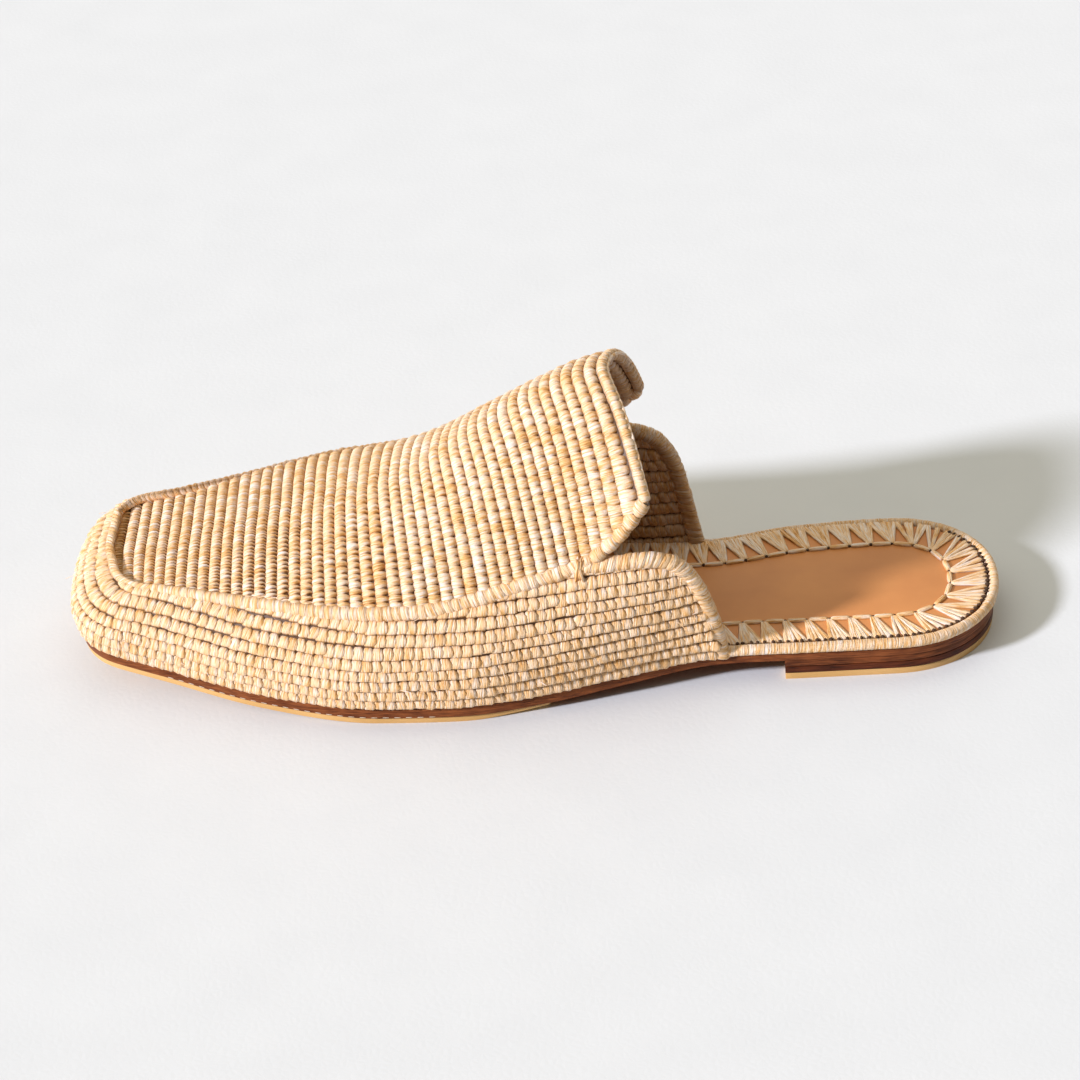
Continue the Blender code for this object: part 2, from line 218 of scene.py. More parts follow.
# %% Curves through the tables
def smooth(rows, column, at):
    """Read one column of a table through a soft curve that never overshoots."""
    x = np.array([row[0] for row in rows])
    y = np.array([row[column] for row in rows])
    step = np.diff(x)
    slope = np.diff(y) / step
    tangent = np.concatenate([slope[:1], np.zeros(len(x) - 2), slope[-1:]])
    for i in range(1, len(x) - 1):
        if slope[i - 1] * slope[i] > 0:
            before = 2 * step[i] + step[i - 1]
            after = step[i] + 2 * step[i - 1]
            tangent[i] = (before + after) / (before / slope[i - 1] + after / slope[i])
    at = np.clip(at, x[0], x[-1])
    i = np.clip(np.searchsorted(x, at) - 1, 0, len(x) - 2)
    t = (at - x[i]) / step[i]
    start = (2 * t**3 - 3 * t**2 + 1) * y[i] + (t**3 - 2 * t**2 + t) * step[i] * tangent[i]
    end = (3 * t**2 - 2 * t**3) * y[i + 1] + (t**3 - t**2) * step[i] * tangent[i + 1]
    return start + end


def cap(depth, radius, power):
    """Share of the full width at a depth behind a rounded end."""
    short = np.clip((radius - depth) / radius, 0, 1)
    return (1 - short**power) ** (1 / power)


def unit(vectors):
    """Vectors at length one."""
    return vectors / np.linalg.norm(vectors, axis=-1, keepdims=True)


def path_lengths(points):
    """Length travelled along a path at each of its points."""
    steps = np.linalg.norm(np.diff(points, axis=0), axis=1)
    return np.concatenate([[0.0], np.cumsum(steps)])


def read_at(points, measure, at):
    """Points of a path where a measure of it, such as its length, has given values."""
    return np.stack([np.interp(at, measure, points[:, axis]) for axis in range(3)], axis=-1)


def along_path(points, share):
    """Points at shares of the length of a path."""
    travelled = path_lengths(points)
    return read_at(points, travelled, share * travelled[-1])


# %% Edge and faces of the sole
EDGE_REACH = 0.004


def share_of(station):
    """Share of the way round a sole edge, from toe tip to heel, at a station."""
    return np.arccos(1 - 2 * np.clip(station, 0, LENGTH) / LENGTH) / math.pi


def edge_base(share, side):
    """Point of the sole edge in plan; side is -1 lateral or +1 medial."""
    station = LENGTH * (1 - np.cos(math.pi * share)) / 2
    lateral = smooth(OUTLINE, 1, station)
    medial = smooth(OUTLINE, 2, station)
    ends = cap(station, TOE_CAP, TOE_POWER) * cap(LENGTH - station, HEEL_CAP, HEEL_POWER)
    across = (medial - lateral) / 2 + side * ends * (lateral + medial) / 2
    return np.stack([station, across], axis=-1)


def edge_outward(share, side):
    """Unit direction in plan that points out of the sole at its edge."""
    share = np.asarray(share, dtype=float)
    side = np.broadcast_to(np.asarray(side, dtype=float), share.shape)
    ahead = np.minimum(share + EDGE_REACH, 1.0)
    behind = np.maximum(share - EDGE_REACH, 0.0)
    run = unit(edge_base(ahead, side) - edge_base(behind, side))
    outward = np.stack([-run[..., 1] * side, run[..., 0] * side], axis=-1)
    outward = np.where((share < EDGE_REACH)[..., None], [-1.0, 0.0], outward)
    return np.where((share > 1 - EDGE_REACH)[..., None], [1.0, 0.0], outward)


def edge(share, side, inset):
    """Point of the sole edge moved inwards by an inset."""
    return edge_base(share, side) - edge_outward(share, side) * inset


def sole_under(station):
    """Height of the leather sole's underside."""
    return smooth(ARCH, 1, station)


def sole_top(station):
    """Height of the leather sole's upper face."""
    return sole_under(station) + smooth(ARCH, 2, station)


print("sole is", round(float(np.ptp(edge_base(np.linspace(0, 1, 99), 1)[:, 0])) * 1000), "mm long")

# %% [markdown]
# ## Apron, wings and wall as surfaces
# The apron is a ruled crown from the toe to the tongue's end. The wall hangs between the sole edge
# and the apron's seam or the wing's free edge, and swells outwards on the way. A point of the wall is
# named by its way round the toe, from -1 at the lateral wing to +1 at the medial one, and by how far
# it has climbed from the sole, so the rows of crochet stay level with the sole as the real ones do.

# %% Apron
FRONT_CAP = 0.014
FRONT_POWER = 2.3
FRONT_START = 0.0035
FRONT_BOW = 0.0008
LEAN_BEND = 0.15
CROWN_POWER = 2.2

crest = np.array([row[:2] for row in RIBS])
RIB_ROWS = [(far,) + row for far, row in zip(path_lengths(crest) / path_lengths(crest)[-1], RIBS)]
THROAT_SHARE = RIB_ROWS[THROAT_ROW][0]


def apron_at(along, across):
    """Points of the apron: along 0 toe to 1 tongue end, across -1 lateral to +1 medial."""
    along, across = np.broadcast_arrays(np.asarray(along, float), np.asarray(across, float))
    crest_x, crest_z, left_x, left_y, left_z, right_x, right_y, right_z = [
        smooth(RIB_ROWS, column, along) for column in range(1, 9)]
    end_x = np.where(across < 0, left_x, right_x)
    end_z = np.where(across < 0, left_z, right_z)
    depth = crest_x - RIBS[0][0]
    width = cap(depth + FRONT_START, FRONT_CAP, FRONT_POWER)
    bow = FRONT_BOW * (1 - cap(depth, FRONT_CAP, FRONT_POWER)) * (1 - across**2)
    lean = (np.hypot(across, LEAN_BEND) - LEAN_BEND) / (math.hypot(1, LEAN_BEND) - LEAN_BEND)
    drop = np.abs(across) ** CROWN_POWER
    return np.stack([
        crest_x + (end_x - crest_x) * lean - bow,
        (left_y + right_y) / 2 + across * width * (right_y - left_y) / 2,
        crest_z + (end_z - crest_z) * drop,
    ], axis=-1)


print("seam reaches the throat at", round(THROAT_SHARE, 3), "of the apron")

# %% Wall
WALL_INSET = 0.0006
WALL_LIFT = 0.0005
WALL_SWELL = 0.0024
WING_POINTS = 25
FRONT_POINTS = 12
SIDE_POINTS = 60


def wing_path(side):
    """Free edge of a wing, from the throat to the lower back corner."""
    rows = [(i,) + row for i, row in enumerate(WINGS[side])]
    at = np.linspace(0, len(rows) - 1, WING_POINTS)
    return np.stack([smooth(rows, column, at) for column in (1, 2, 3)], axis=-1)


def wall_foot_path(side):
    """Lower edge of the wall on the sole, from toe tip to wing end."""
    plan = edge(np.linspace(0, share_of(WING_FOOT[side]), SIDE_POINTS), side, WALL_INSET)
    return np.column_stack([plan, sole_top(np.maximum(plan[:, 0], 0)) + WALL_LIFT])


def wall_top_path(side):
    """Upper edge of the wall: front of the apron, its seam, then the wing."""
    front = apron_at(0, side * np.linspace(0, 1, FRONT_POINTS))
    seam = apron_at(np.linspace(0, THROAT_SHARE, SIDE_POINTS), side)
    return np.vstack([front, seam[1:], wing_path(side)[1:]])


FOOT_PATHS = {side: wall_foot_path(side) for side in SIDES}
TOP_PATHS = {side: wall_top_path(side) for side in SIDES}


def by_side(way, paths):
    """Points at a way along the lateral or the medial one of two paths."""
    lateral, medial = [along_path(paths[side], np.abs(way)) for side in SIDES]
    return np.where(way[..., None] < 0, lateral, medial)


def wall_column(way):
    """Foot, top, swell and height of the wall at a way from -1 lateral to +1 medial."""
    foot, top = by_side(way, FOOT_PATHS), by_side(way, TOP_PATHS)
    plan = edge_outward(share_of(foot[..., 0]), np.where(way < 0, LATERAL, MEDIAL))
    outward = np.concatenate([plan, np.zeros(plan.shape[:-1] + (1,))], axis=-1)
    lean_in = -np.sum((top - foot) * outward, axis=-1, keepdims=True)
    swell = outward * (lean_in / 4 + WALL_SWELL)
    chord = np.linalg.norm(top - foot, axis=-1)
    # length of a shallow bow over its chord
    height = chord + 8 / 3 * np.sum(swell**2, axis=-1) / chord
    return foot, top, swell, height


def wall_at(way, climb):
    """Points of the wall at a way and at a climb from the sole."""
    foot, top, swell, height = wall_column(way)
    share = (climb / height)[..., None]
    return foot + (top - foot) * share + swell * 4 * share * (1 - share)


print("wall is", np.round(wall_column(np.array([-0.9, -0.5, 0.0, 0.5, 0.9]))[3] * 1000, 1), "mm tall")

# %% [markdown]
# ## Finishes
# Raffia is a dry leaf split into strips, so it shows fine streaks along each strand, and every strand
# has its own tone. One pattern over the whole upper would run across the strands, so a shared node
# group makes the streaks from each strand's own UV map, whose first coordinate runs across the strand
# and whose second runs along it. Each strand also carries its tone, and a weight of painted shade for
# its creases, notches and underside, as attributes. Leather grain and layered edges get groups of their
# own.


# %% Node helpers
def node_group(name, inputs, outputs):
    """Empty shader group with named value sockets, and its two end nodes."""
    group = bpy.data.node_groups.new(name, "ShaderNodeTree")
    for label, value in inputs:
        socket = group.interface.new_socket(name=label, in_out="INPUT", socket_type="NodeSocketFloat")
        socket.default_value = value
    for label in outputs:
        group.interface.new_socket(name=label, in_out="OUTPUT", socket_type="NodeSocketFloat")
    return group, group.nodes.new("NodeGroupInput"), group.nodes.new("NodeGroupOutput")


def math_node(tree, operation, first, second):
    """Math node whose two sides are sockets or plain numbers."""
    node = tree.nodes.new("ShaderNodeMath")
    node.operation = operation
    for socket, side in zip(node.inputs, (first, second)):
        if isinstance(side, (int, float)):
            socket.default_value = side
        else:
            tree.links.new(side, socket)
    return node.outputs[0]


def noise_node(tree, vector, scale, detail):
    """Noise texture read at a vector socket."""
    node = tree.nodes.new("ShaderNodeTexNoise")
    node.inputs["Scale"].default_value = scale
    node.inputs["Detail"].default_value = detail
    tree.links.new(vector, node.inputs["Vector"])
    return node.outputs["Fac"]


def stretched(tree, parts, factors):
    """Vector joined from three sockets, each times its factor."""
    node = tree.nodes.new("ShaderNodeCombineXYZ")
    for socket, part, factor in zip(node.inputs, parts, factors):
        tree.links.new(math_node(tree, "MULTIPLY", part, factor), socket)
    return node.outputs[0]


def split(tree, vector):
    """The three parts of a vector socket."""
    node = tree.nodes.new("ShaderNodeSeparateXYZ")
    tree.links.new(vector, node.inputs[0])
    return list(node.outputs)


# %% Groups that several finishes share
STREAK_LENGTH = 0.22
STRAND_SHIFT = 90.0
CLOUD_SCALE = 38.0
EDGE_STREAK = 190.0
WEAR_SCALE = 120.0


def make_fibre_group():
    """Streaks along a strand, the strand's own tone, and its painted shade."""
    group, given, made = node_group("fibre", [("Fineness", 3.0)], ["Streak", "Tone", "Dive"])
    place = group.nodes.new("ShaderNodeUVMap")
    place.uv_map = "fibre"
    own = {}
    for label in ("Tone", "Dive"):
        carried = group.nodes.new("ShaderNodeAttribute")
        carried.attribute_name = label.lower()
        own[label] = carried.outputs["Fac"]
        group.links.new(own[label], made.inputs[label])
    across, along, _ = split(group, place.outputs["UV"])
    factors = (given.outputs["Fineness"], STREAK_LENGTH, STRAND_SHIFT)
    spot = stretched(group, (across, along, own["Tone"]), factors)
    group.links.new(noise_node(group, spot, 1.0, 3.0), made.inputs["Streak"])
    return group


def make_grain_group():
    """Fine leather grain with broad clouding, on object coordinates."""
    group, given, made = node_group("leather_grain", [("Fineness", 900.0)], ["Grain", "Cloud"])
    place = group.nodes.new("ShaderNodeTexCoord").outputs["Object"]
    cells = group.nodes.new("ShaderNodeTexVoronoi")
    cells.feature = "DISTANCE_TO_EDGE"
    group.links.new(place, cells.inputs["Vector"])
    group.links.new(given.outputs["Fineness"], cells.inputs["Scale"])
    group.links.new(cells.outputs["Distance"], made.inputs["Grain"])
    group.links.new(noise_node(group, place, CLOUD_SCALE, 4.0), made.inputs["Cloud"])
    return group


def make_layer_group():
    """Streaks of a cut leather edge: long along the sole and short in height."""
    group, given, made = node_group("cut_edge", [("Height", 3200.0)], ["Streak", "Wear"])
    place = group.nodes.new("ShaderNodeTexCoord").outputs["Object"]
    factors = (EDGE_STREAK, EDGE_STREAK, given.outputs["Height"])
    spot = stretched(group, split(group, place), factors)
    group.links.new(noise_node(group, spot, 1.0, 4.0), made.inputs["Streak"])
    group.links.new(noise_node(group, place, WEAR_SCALE, 3.0), made.inputs["Wear"])
    return group


FIBRE = make_fibre_group()
GRAIN = make_grain_group()
CUT_EDGE = make_layer_group()
print("node groups:", FIBRE.name, GRAIN.name, CUT_EDGE.name)


# %% Material helpers
def new_material(name, roughness):
    """Material with its Principled shader and tree."""
    material = bpy.data.materials.new(name)
    material.use_nodes = True
    tree = material.node_tree
    shader = tree.nodes["Principled BSDF"]
    shader.inputs["Roughness"].default_value = roughness
    return material, tree, shader


def place_group(tree, group, **values):
    """Outputs of a group placed in a material, with its values."""
    node = tree.nodes.new("ShaderNodeGroup")
    node.node_tree = group
    for label, value in values.items():
        node.inputs[label].default_value = value
    return node.outputs


def weighted(tree, *pairs):
    """Sum of two sockets, each times its weight."""
    first, second = [math_node(tree, "MULTIPLY", socket, weight) for socket, weight in pairs]
    return math_node(tree, "ADD", first, second)


def ramp(tree, factor, stops):
    """Colour ramp through stops of position and linear colour."""
    node = tree.nodes.new("ShaderNodeValToRGB")
    node.color_ramp.elements[0].position = stops[0][0]
    node.color_ramp.elements[1].position = stops[-1][0]
    for position, _ in stops[1:-1]:
        node.color_ramp.elements.new(position)
    for element, (_, colour) in zip(node.color_ramp.elements, stops):
        element.color = (*colour, 1.0)
    tree.links.new(factor, node.inputs["Fac"])
    return node.outputs["Color"]


def bump(tree, shader, height, strength, distance):
    """Bump from a height socket into the shader's normal."""
    node = tree.nodes.new("ShaderNodeBump")
    node.inputs["Strength"].default_value = strength
    node.inputs["Distance"].default_value = distance
    tree.links.new(height, node.inputs["Height"])
    tree.links.new(node.outputs["Normal"], shader.inputs["Normal"])


# %% Kinds of finish
RAFFIA_ROUGH = 0.45
RAFFIA_SHINE = 0.3
RAFFIA_FINE = 2.6
# colour of the painted shade in the strands' creases, notches and undersides
RAFFIA_PAINTED_SHADE = (0.19, 0.072, 0.012)
RAFFIA_BUMP = 0.0008
STREAK_WEIGHT, TONE_WEIGHT = 0.85, 0.5
GRAIN_STRENGTH = 0.25
EDGE_SHINE = 0.15
EDGE_LAYERS = 3200.0
EDGE_WEIGHT, WEAR_WEIGHT = 0.7, 0.3
EDGE_STRENGTH, EDGE_BUMP = 0.35, 0.0003


def make_raffia(name, stops, strength):
    """Dry raffia: tone by strand, streaks along it, and painted shade in its creases, notches and
    underside.
    """
    material, tree, shader = new_material(name, RAFFIA_ROUGH)
    shader.inputs["Specular IOR Level"].default_value = RAFFIA_SHINE
    fibre = place_group(tree, FIBRE, Fineness=RAFFIA_FINE)
    mixed = weighted(tree, (fibre["Streak"], STREAK_WEIGHT), (fibre["Tone"], TONE_WEIGHT))
    # painted shade: each strand's weight of it mixes its colour towards dark brown
    # the colour sockets of this node are inputs 6 and 7 and output 2
    shaded = tree.nodes.new("ShaderNodeMix")
    shaded.data_type = "RGBA"
    tree.links.new(fibre["Dive"], shaded.inputs["Factor"])
    tree.links.new(ramp(tree, mixed, stops), shaded.inputs[6])
    shaded.inputs[7].default_value = (*RAFFIA_PAINTED_SHADE, 1.0)
    tree.links.new(shaded.outputs[2], shader.inputs["Base Color"])
    bump(tree, shader, fibre["Streak"], strength, RAFFIA_BUMP)
    return material


def make_smooth(name, stops, roughness, fineness, depth):
    """Leather, rubber, thread or paper: clouded colour and fine grain."""
    material, tree, shader = new_material(name, roughness)
    grain = place_group(tree, GRAIN, Fineness=fineness)
    tree.links.new(ramp(tree, grain["Cloud"], stops), shader.inputs["Base Color"])
    bump(tree, shader, grain["Grain"], GRAIN_STRENGTH, depth)
    return material


def make_cut_leather(name, stops, roughness):
    """Stained and waxed edge of cut leather."""
    material, tree, shader = new_material(name, roughness)
    shader.inputs["Specular IOR Level"].default_value = EDGE_SHINE
    layers = place_group(tree, CUT_EDGE, Height=EDGE_LAYERS)
    mixed = weighted(tree, (layers["Streak"], EDGE_WEIGHT), (layers["Wear"], WEAR_WEIGHT))
    tree.links.new(ramp(tree, mixed, stops), shader.inputs["Base Color"])
    bump(tree, shader, layers["Streak"], EDGE_STRENGTH, EDGE_BUMP)
    return material


# %% Finishes of the shoe and the floor
RAFFIA_STOPS = [
    (0.42, (0.53, 0.220, 0.045)),
    (0.56, (0.86, 0.475, 0.162)),
    (0.69, (0.99, 0.695, 0.415)),
    (0.84, (1.00, 0.865, 0.755)),
]
# kind, colour stops, then the other values that the kind asks for
RECIPES = {
    "raffia": (make_raffia, RAFFIA_STOPS, 0.8),
    # dark raffia of the backing and the cores: painted shade seen between the strands
    "raffia_core": (make_raffia, [(0.3, (0.08, 0.035, 0.012)), (0.8, (0.16, 0.075, 0.028))], 0.3),
    "insole_leather": (
        make_smooth, [(0.3, (0.59, 0.232, 0.068)), (0.7, (0.71, 0.300, 0.090))], 0.48, 1500.0, 0.00012),
    "sole_leather": (
        make_cut_leather, [(0.35, (0.08, 0.018, 0.005)), (0.65, (0.33, 0.100, 0.028))], 0.42),
    "lift_leather_light": (
        make_cut_leather, [(0.35, (0.045, 0.011, 0.004)), (0.65, (0.27, 0.078, 0.022))], 0.42),
    "lift_leather_dark": (
        make_cut_leather, [(0.35, (0.030, 0.007, 0.003)), (0.65, (0.15, 0.036, 0.011))], 0.40),
    "honey_rubber": (
        make_smooth, [(0.3, (0.66, 0.37, 0.11)), (0.7, (0.78, 0.47, 0.17))], 0.5, 2500.0, 0.00008),
    # holes: dark shapes of painted shade inside each hole
    "hole": (
        make_smooth, [(0.3, (0.05, 0.022, 0.008)), (0.7, (0.09, 0.042, 0.016))], 0.8, 900.0, 0.0001),
    "thread": (
        make_smooth, [(0.3, (0.62, 0.50, 0.36)), (0.7, (0.76, 0.64, 0.48))], 0.6, 3000.0, 0.0001),
    "paper": (
        make_smooth, [(0.2, (0.72, 0.745, 0.752)), (0.8, (0.75, 0.775, 0.781))], 0.9, 400.0, 0.0002),
}
FINISHES = {name: make(name, *values) for name, (make, *values) in RECIPES.items()}
floor.data.materials.append(FINISHES["paper"])
print("finishes:", ", ".join(FINISHES))

# %% [markdown]
# ## Small shapes and how to repeat them
# A crocheted upper needs thousands of strands, but only a few different shapes. Each shape is made
# once with bmesh operators and kept as arrays. Then one joined mesh repeats it: every copy has a
# place and three axes, whose lengths are its sizes. Arrays do this in a moment, where separate objects
# would be slow to build and to render.

# %% Repeat a shape
Shape = namedtuple("Shape", "corners faces fibres sides dives")
MM = 1000.0


def finished(name, mesh, finish):
    """Object for a mesh with its finish, riding on the shoe."""
    mesh.materials.append(FINISHES[finish])
    piece = bpy.data.objects.new(name, mesh)
    bpy.context.scene.collection.objects.link(piece)
    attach(piece, "root")
    return piece


def frames(x_axis, z_axis):
    """Square frames from a first axis and a rough third one; rows are the axes."""
    x_axis = unit(x_axis)
    z_axis = unit(z_axis - x_axis * np.sum(z_axis * x_axis, axis=-1, keepdims=True))
    return np.stack([x_axis, np.cross(z_axis, x_axis), z_axis], axis=-2)


def turned(axes, about, angle):
    """Frames turned about one of their own axes by angles in radians."""
    first, second = [(1, 2), (2, 0), (0, 1)][about]
    cos = np.cos(angle)[..., None]
    sin = np.sin(angle)[..., None]
    result = axes.copy()
    result[:, first] = axes[:, first] * cos + axes[:, second] * sin
    result[:, second] = axes[:, second] * cos - axes[:, first] * sin
    return result


def strew(name, shapes, places, axes, sizes, tones, finish="raffia"):
    """One mesh of many copies: places, frames, sizes along the frames' axes, and tones."""
    picks = chance.integers(0, len(shapes), len(places))
    scaled = axes * sizes[:, :, None]
    corners, faces, fibres, shades, dives = [], [], [], [], []
    start = 0
    for index, shape in enumerate(shapes):
        chosen = np.flatnonzero(picks == index)
        count = len(shape.corners)
        corners.append((shape.corners @ scaled[chosen] + places[chosen, None]).reshape(-1, 3))
        firsts = start + np.arange(len(chosen)) * count
        faces.append((shape.faces + firsts[:, None, None]).reshape(-1, 3))
        fibres.append((shape.fibres * sizes[chosen][:, None, shape.sides] * MM).reshape(-1, 2))
        shades.append(np.repeat(tones[chosen], count))
        dives.append(np.tile(shape.dives, len(chosen)))
        start += len(chosen) * count
    return finished(name, joined_mesh(name, corners, faces, fibres, shades, dives), finish)


def joined_mesh(name, corners, faces, fibres, shades, dives):
    """Mesh from arrays of corners and triangles, with its fibre map, tones and painted shade."""
    corners, faces = np.concatenate(corners) - ORIGIN, np.concatenate(faces)
    mesh = bpy.data.meshes.new(name)
    mesh.vertices.add(len(corners))
    mesh.vertices.foreach_set("co", corners.ravel())
    mesh.loops.add(faces.size)
    mesh.loops.foreach_set("vertex_index", faces.ravel())
    mesh.polygons.add(len(faces))
    mesh.polygons.foreach_set("loop_start", np.arange(len(faces)) * 3)
    mesh.update(calc_edges=True)
    mesh.shade_smooth()
    mesh.uv_layers.new(name="fibre").uv.foreach_set("vector", np.concatenate(fibres)[faces.ravel()].ravel())
    for label, values in (("tone", shades), ("dive", dives)):
        mesh.attributes.new(label, "FLOAT", "POINT").data.foreach_set("value", np.concatenate(values))
    print(name, "has", len(faces), "triangles")
    return mesh


# %% The small shapes
ROUGHNESS = 0.010
# where the painted shade starts on a strand's long sides and towards its ends
CREASE_SHADE_FROM = 0.70
NOTCH_FROM = 0.50


def wrap_shape(ends, section, taper=0.0, flare=0.0, lengthwise=False, around=10, along=6,
               dive=0.7, notch=0.3, inner=0.0, reach=0.0):
    """Barrel about the first axis: higher ends and section make it squarer, taper shortens its far side,
    reach carries that over its top, and flare narrows its first end. Three weights of painted shade
    darken its long sides, the ends of its far side, and its underside."""
    form = bmesh.new()
    bmesh.ops.create_uvsphere(form, u_segments=around, v_segments=along, radius=1.0)
    dives = []
    for vert in form.verts:
        length = math.copysign(math.sqrt(abs(vert.co.z)), vert.co.z)
        turn = math.atan2(vert.co.y, vert.co.x)
        girth = (1 - min(1.0, abs(length)) ** ends) ** (1 / ends)
        girth /= (abs(math.cos(turn)) ** section + abs(math.sin(turn)) ** section) ** (1 / section)
        across = girth * math.cos(turn) * (1 - flare * (1 - length) / 2)
        narrowed = length * (1 - taper * max(0.0, across + reach) / (1 + reach))
        # painted shade: darker towards the long sides, the ends of the far side and the underside, where
        # the strands shade one another
        flank = max(0.0, abs(math.cos(turn)) - CREASE_SHADE_FROM) / (1 - CREASE_SHADE_FROM)
        tip = max(0.0, abs(length) - NOTCH_FROM) / (1 - NOTCH_FROM)
        below = max(0.0, -math.sin(turn))
        behind = max(0.0, math.cos(turn) + reach) / (1 + reach)
        dives.append(max(dive * flank, notch * tip * behind, inner * below))
        vert.co = Vector((narrowed, across, girth * math.sin(turn))) / 2
        vert.co += Vector(chance.normal(0, ROUGHNESS, 3))
    bmesh.ops.recalc_face_normals(form, faces=form.faces[:])
    bmesh.ops.triangulate(form, faces=form.faces[:])
    form.verts.index_update()
    corners = np.array([vert.co[:] for vert in form.verts])
    faces = np.array([[vert.index for vert in face.verts] for face in form.faces])
    form.free()
    round_it = np.arctan2(corners[:, 2], corners[:, 1]) / 2
    if lengthwise:
        return Shape(corners, faces, corners[:, 1::-1], (1, 0), np.array(dives))
    return Shape(corners, faces, np.column_stack([corners[:, 0], round_it]), (0, 1), np.array(dives))


def variants(count, *form, **rest):
    """Several barrels of one kind, each uneven in its own way."""
    return [wrap_shape(*form, **rest) for _ in range(count)]


# in each kind, the weights for the long sides, the notches and the underside set its painted shade
STITCHES = variants(6, 3.5, 4.0, 0.38, around=16, along=5, dive=1.0, notch=1.0, inner=0.55)
FINE_WRAPS = variants(5, 5.0, 2.5, 0.78, dive=0.20, notch=1.0, inner=0.5, reach=0.30)
MID_WRAPS = variants(5, 5.0, 2.5, 0.42, dive=0.30, notch=0.9, inner=0.5, reach=0.10)
BEADS = variants(5, 4.5, 2.6, 0.32, dive=0.55, notch=0.9, inner=0.5)
WRAPS = variants(5, 4.5, 2.6, 0.05, around=12, dive=0.6, notch=0.7)
TONGUE_WRAPS = variants(5, 3.0, 2.6, 0.05, around=12, dive=0.5, notch=0.8)
BINDINGS = variants(5, 6.0, 2.4, 0.05, around=12, dive=0.3, notch=0.2, inner=0.65)
SEAM_WRAPS = variants(5, 3.0, 2.4, 0.25, around=12, dive=0.8, notch=1.0)
RIM_WRAPS = variants(4, 14.0, 3.2, dive=0.2, notch=0.15)
FLARED = variants(5, 9.0, 2.4, flare=0.60, lengthwise=True, around=8, dive=0.55)
LENSES = variants(4, 2.3, 2.2, lengthwise=True, around=8, dive=0.3, notch=0.2)
CORDS = variants(4, 4.0, 2.2, lengthwise=True, around=8, dive=0.4, notch=0.3)
HOLES = variants(1, 2.0, 2.0, around=8, along=4)
print("triangles in a stitch, a bead and a fan strand:",
      [len(kind[0].faces) for kind in (STITCHES, BEADS, FLARED)])

# %% [markdown]
# ## Backing sheet and cords
# Between the strands one looks into deep shade, not through the shoe. A thin sheet inside the wall
# and apron closes the gaps, and plain cords fill the rolled seam and the edges; both are coloured dark
# brown as painted shade. Towards the toe the apron lies a little below its seam. A grid is the natural
# start for a sheet: its corners are sent to the surface, and Solidify gives it both sides.

# %% Backing of the upper
BACKING_THICK = 0.0012
WALL_GRID = (120, 14)
APRON_GRID = (16, 60)
SINK = 0.0031
SINK_END = 0.28


def mapped_grid(form, cells, place):
    """Add a grid to a bmesh, with its corners sent to a surface."""
    made = bmesh.ops.create_grid(form, x_segments=cells[0], y_segments=cells[1], size=1.0)
    spread = np.array([vert.co[:2] for vert in made["verts"]])
    for vert, point in zip(made["verts"], place(spread[:, 0], (spread[:, 1] + 1) / 2) - ORIGIN):
        vert.co = point


def wall_sheet(way, share):
    """Wall points by way and share of the height."""
    return wall_at(way, share * wall_column(way)[3])


def sunk_apron(along, across):
    """Points of the apron, let down inside the seam towards the toe."""
    points = apron_at(along, across)
    points[..., 2] -= SINK * np.clip(1 - along / SINK_END, 0, 1)
    return points


backing_form = bmesh.new()
mapped_grid(backing_form, WALL_GRID, wall_sheet)
mapped_grid(backing_form, APRON_GRID, lambda across, along: sunk_apron(along, across))
backing_mesh = bpy.data.meshes.new("upper_backing")
backing_form.to_mesh(backing_mesh)
backing_form.free()
# painted shade: the backing is dark brown raffia
backing = finished("upper_backing", backing_mesh, "raffia_core")
backing_wall = backing.modifiers.new("thickness", "SOLIDIFY")
backing_wall.thickness = BACKING_THICK
backing_wall.offset = 0.0
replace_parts(backing, "upper")
print("backing has", len(backing_mesh.polygons), "faces")

# %% Paths of the edges
TOE_SHARE = 0.10
SEAM_POINTS = 50
TOE_POINTS = 24
TONGUE_POINTS = 20
END_POINTS = 60


def wing_edge(side):
    """Wing edge from the throat down to the sole."""
    return np.vstack([wing_path(side), FOOT_PATHS[side][-1:]])


def seam_path(side, first, last):
    """Seam of the apron on one side, between two shares of the way to the throat."""
    return apron_at(np.linspace(first, last, SEAM_POINTS) * THROAT_SHARE, side)


def toe_path():
    """Seam round the front of the apron, between the two side seams."""
    front = apron_at(0, np.linspace(-1, 1, TOE_POINTS))
    return np.vstack([seam_path(LATERAL, 0, TOE_SHARE)[:0:-1], front, seam_path(MEDIAL, 0, TOE_SHARE)[1:]])


def tongue_path(side):
    """Free edge of the tongue on one side, from the throat to its end."""
    return apron_at(np.linspace(THROAT_SHARE, 1, TONGUE_POINTS), side)


EDGES = {
    "lateral_wing": wing_edge(LATERAL),
    "medial_wing": wing_edge(MEDIAL),
    "lateral_seam": seam_path(LATERAL, TOE_SHARE, 1),
    "medial_seam": seam_path(MEDIAL, TOE_SHARE, 1),
    "toe_seam": toe_path(),
    "lateral_tongue": tongue_path(LATERAL),
    "medial_tongue": tongue_path(MEDIAL),
    "tongue_end": apron_at(1, np.linspace(1, -1, END_POINTS)),
}
print("edges:", {name: round(path_lengths(path)[-1] * MM) for name, path in EDGES.items()}, "mm")

# %% Cords inside the edges
CORE_SHARE = 0.7
SEAM_RADII = [0.0017, 0.0022, 0.0025, 0.0025, 0.0025]
# radius along each edge, from its start to its end
RADII = {
    "lateral_wing": [0.0025],
    "medial_wing": [0.0025],
    "lateral_seam": SEAM_RADII,
    "medial_seam": SEAM_RADII,
    "toe_seam": [0.0015],
    "lateral_tongue": [0.0024],
    "medial_tongue": [0.0024],
    "tongue_end": [0.0018],
}


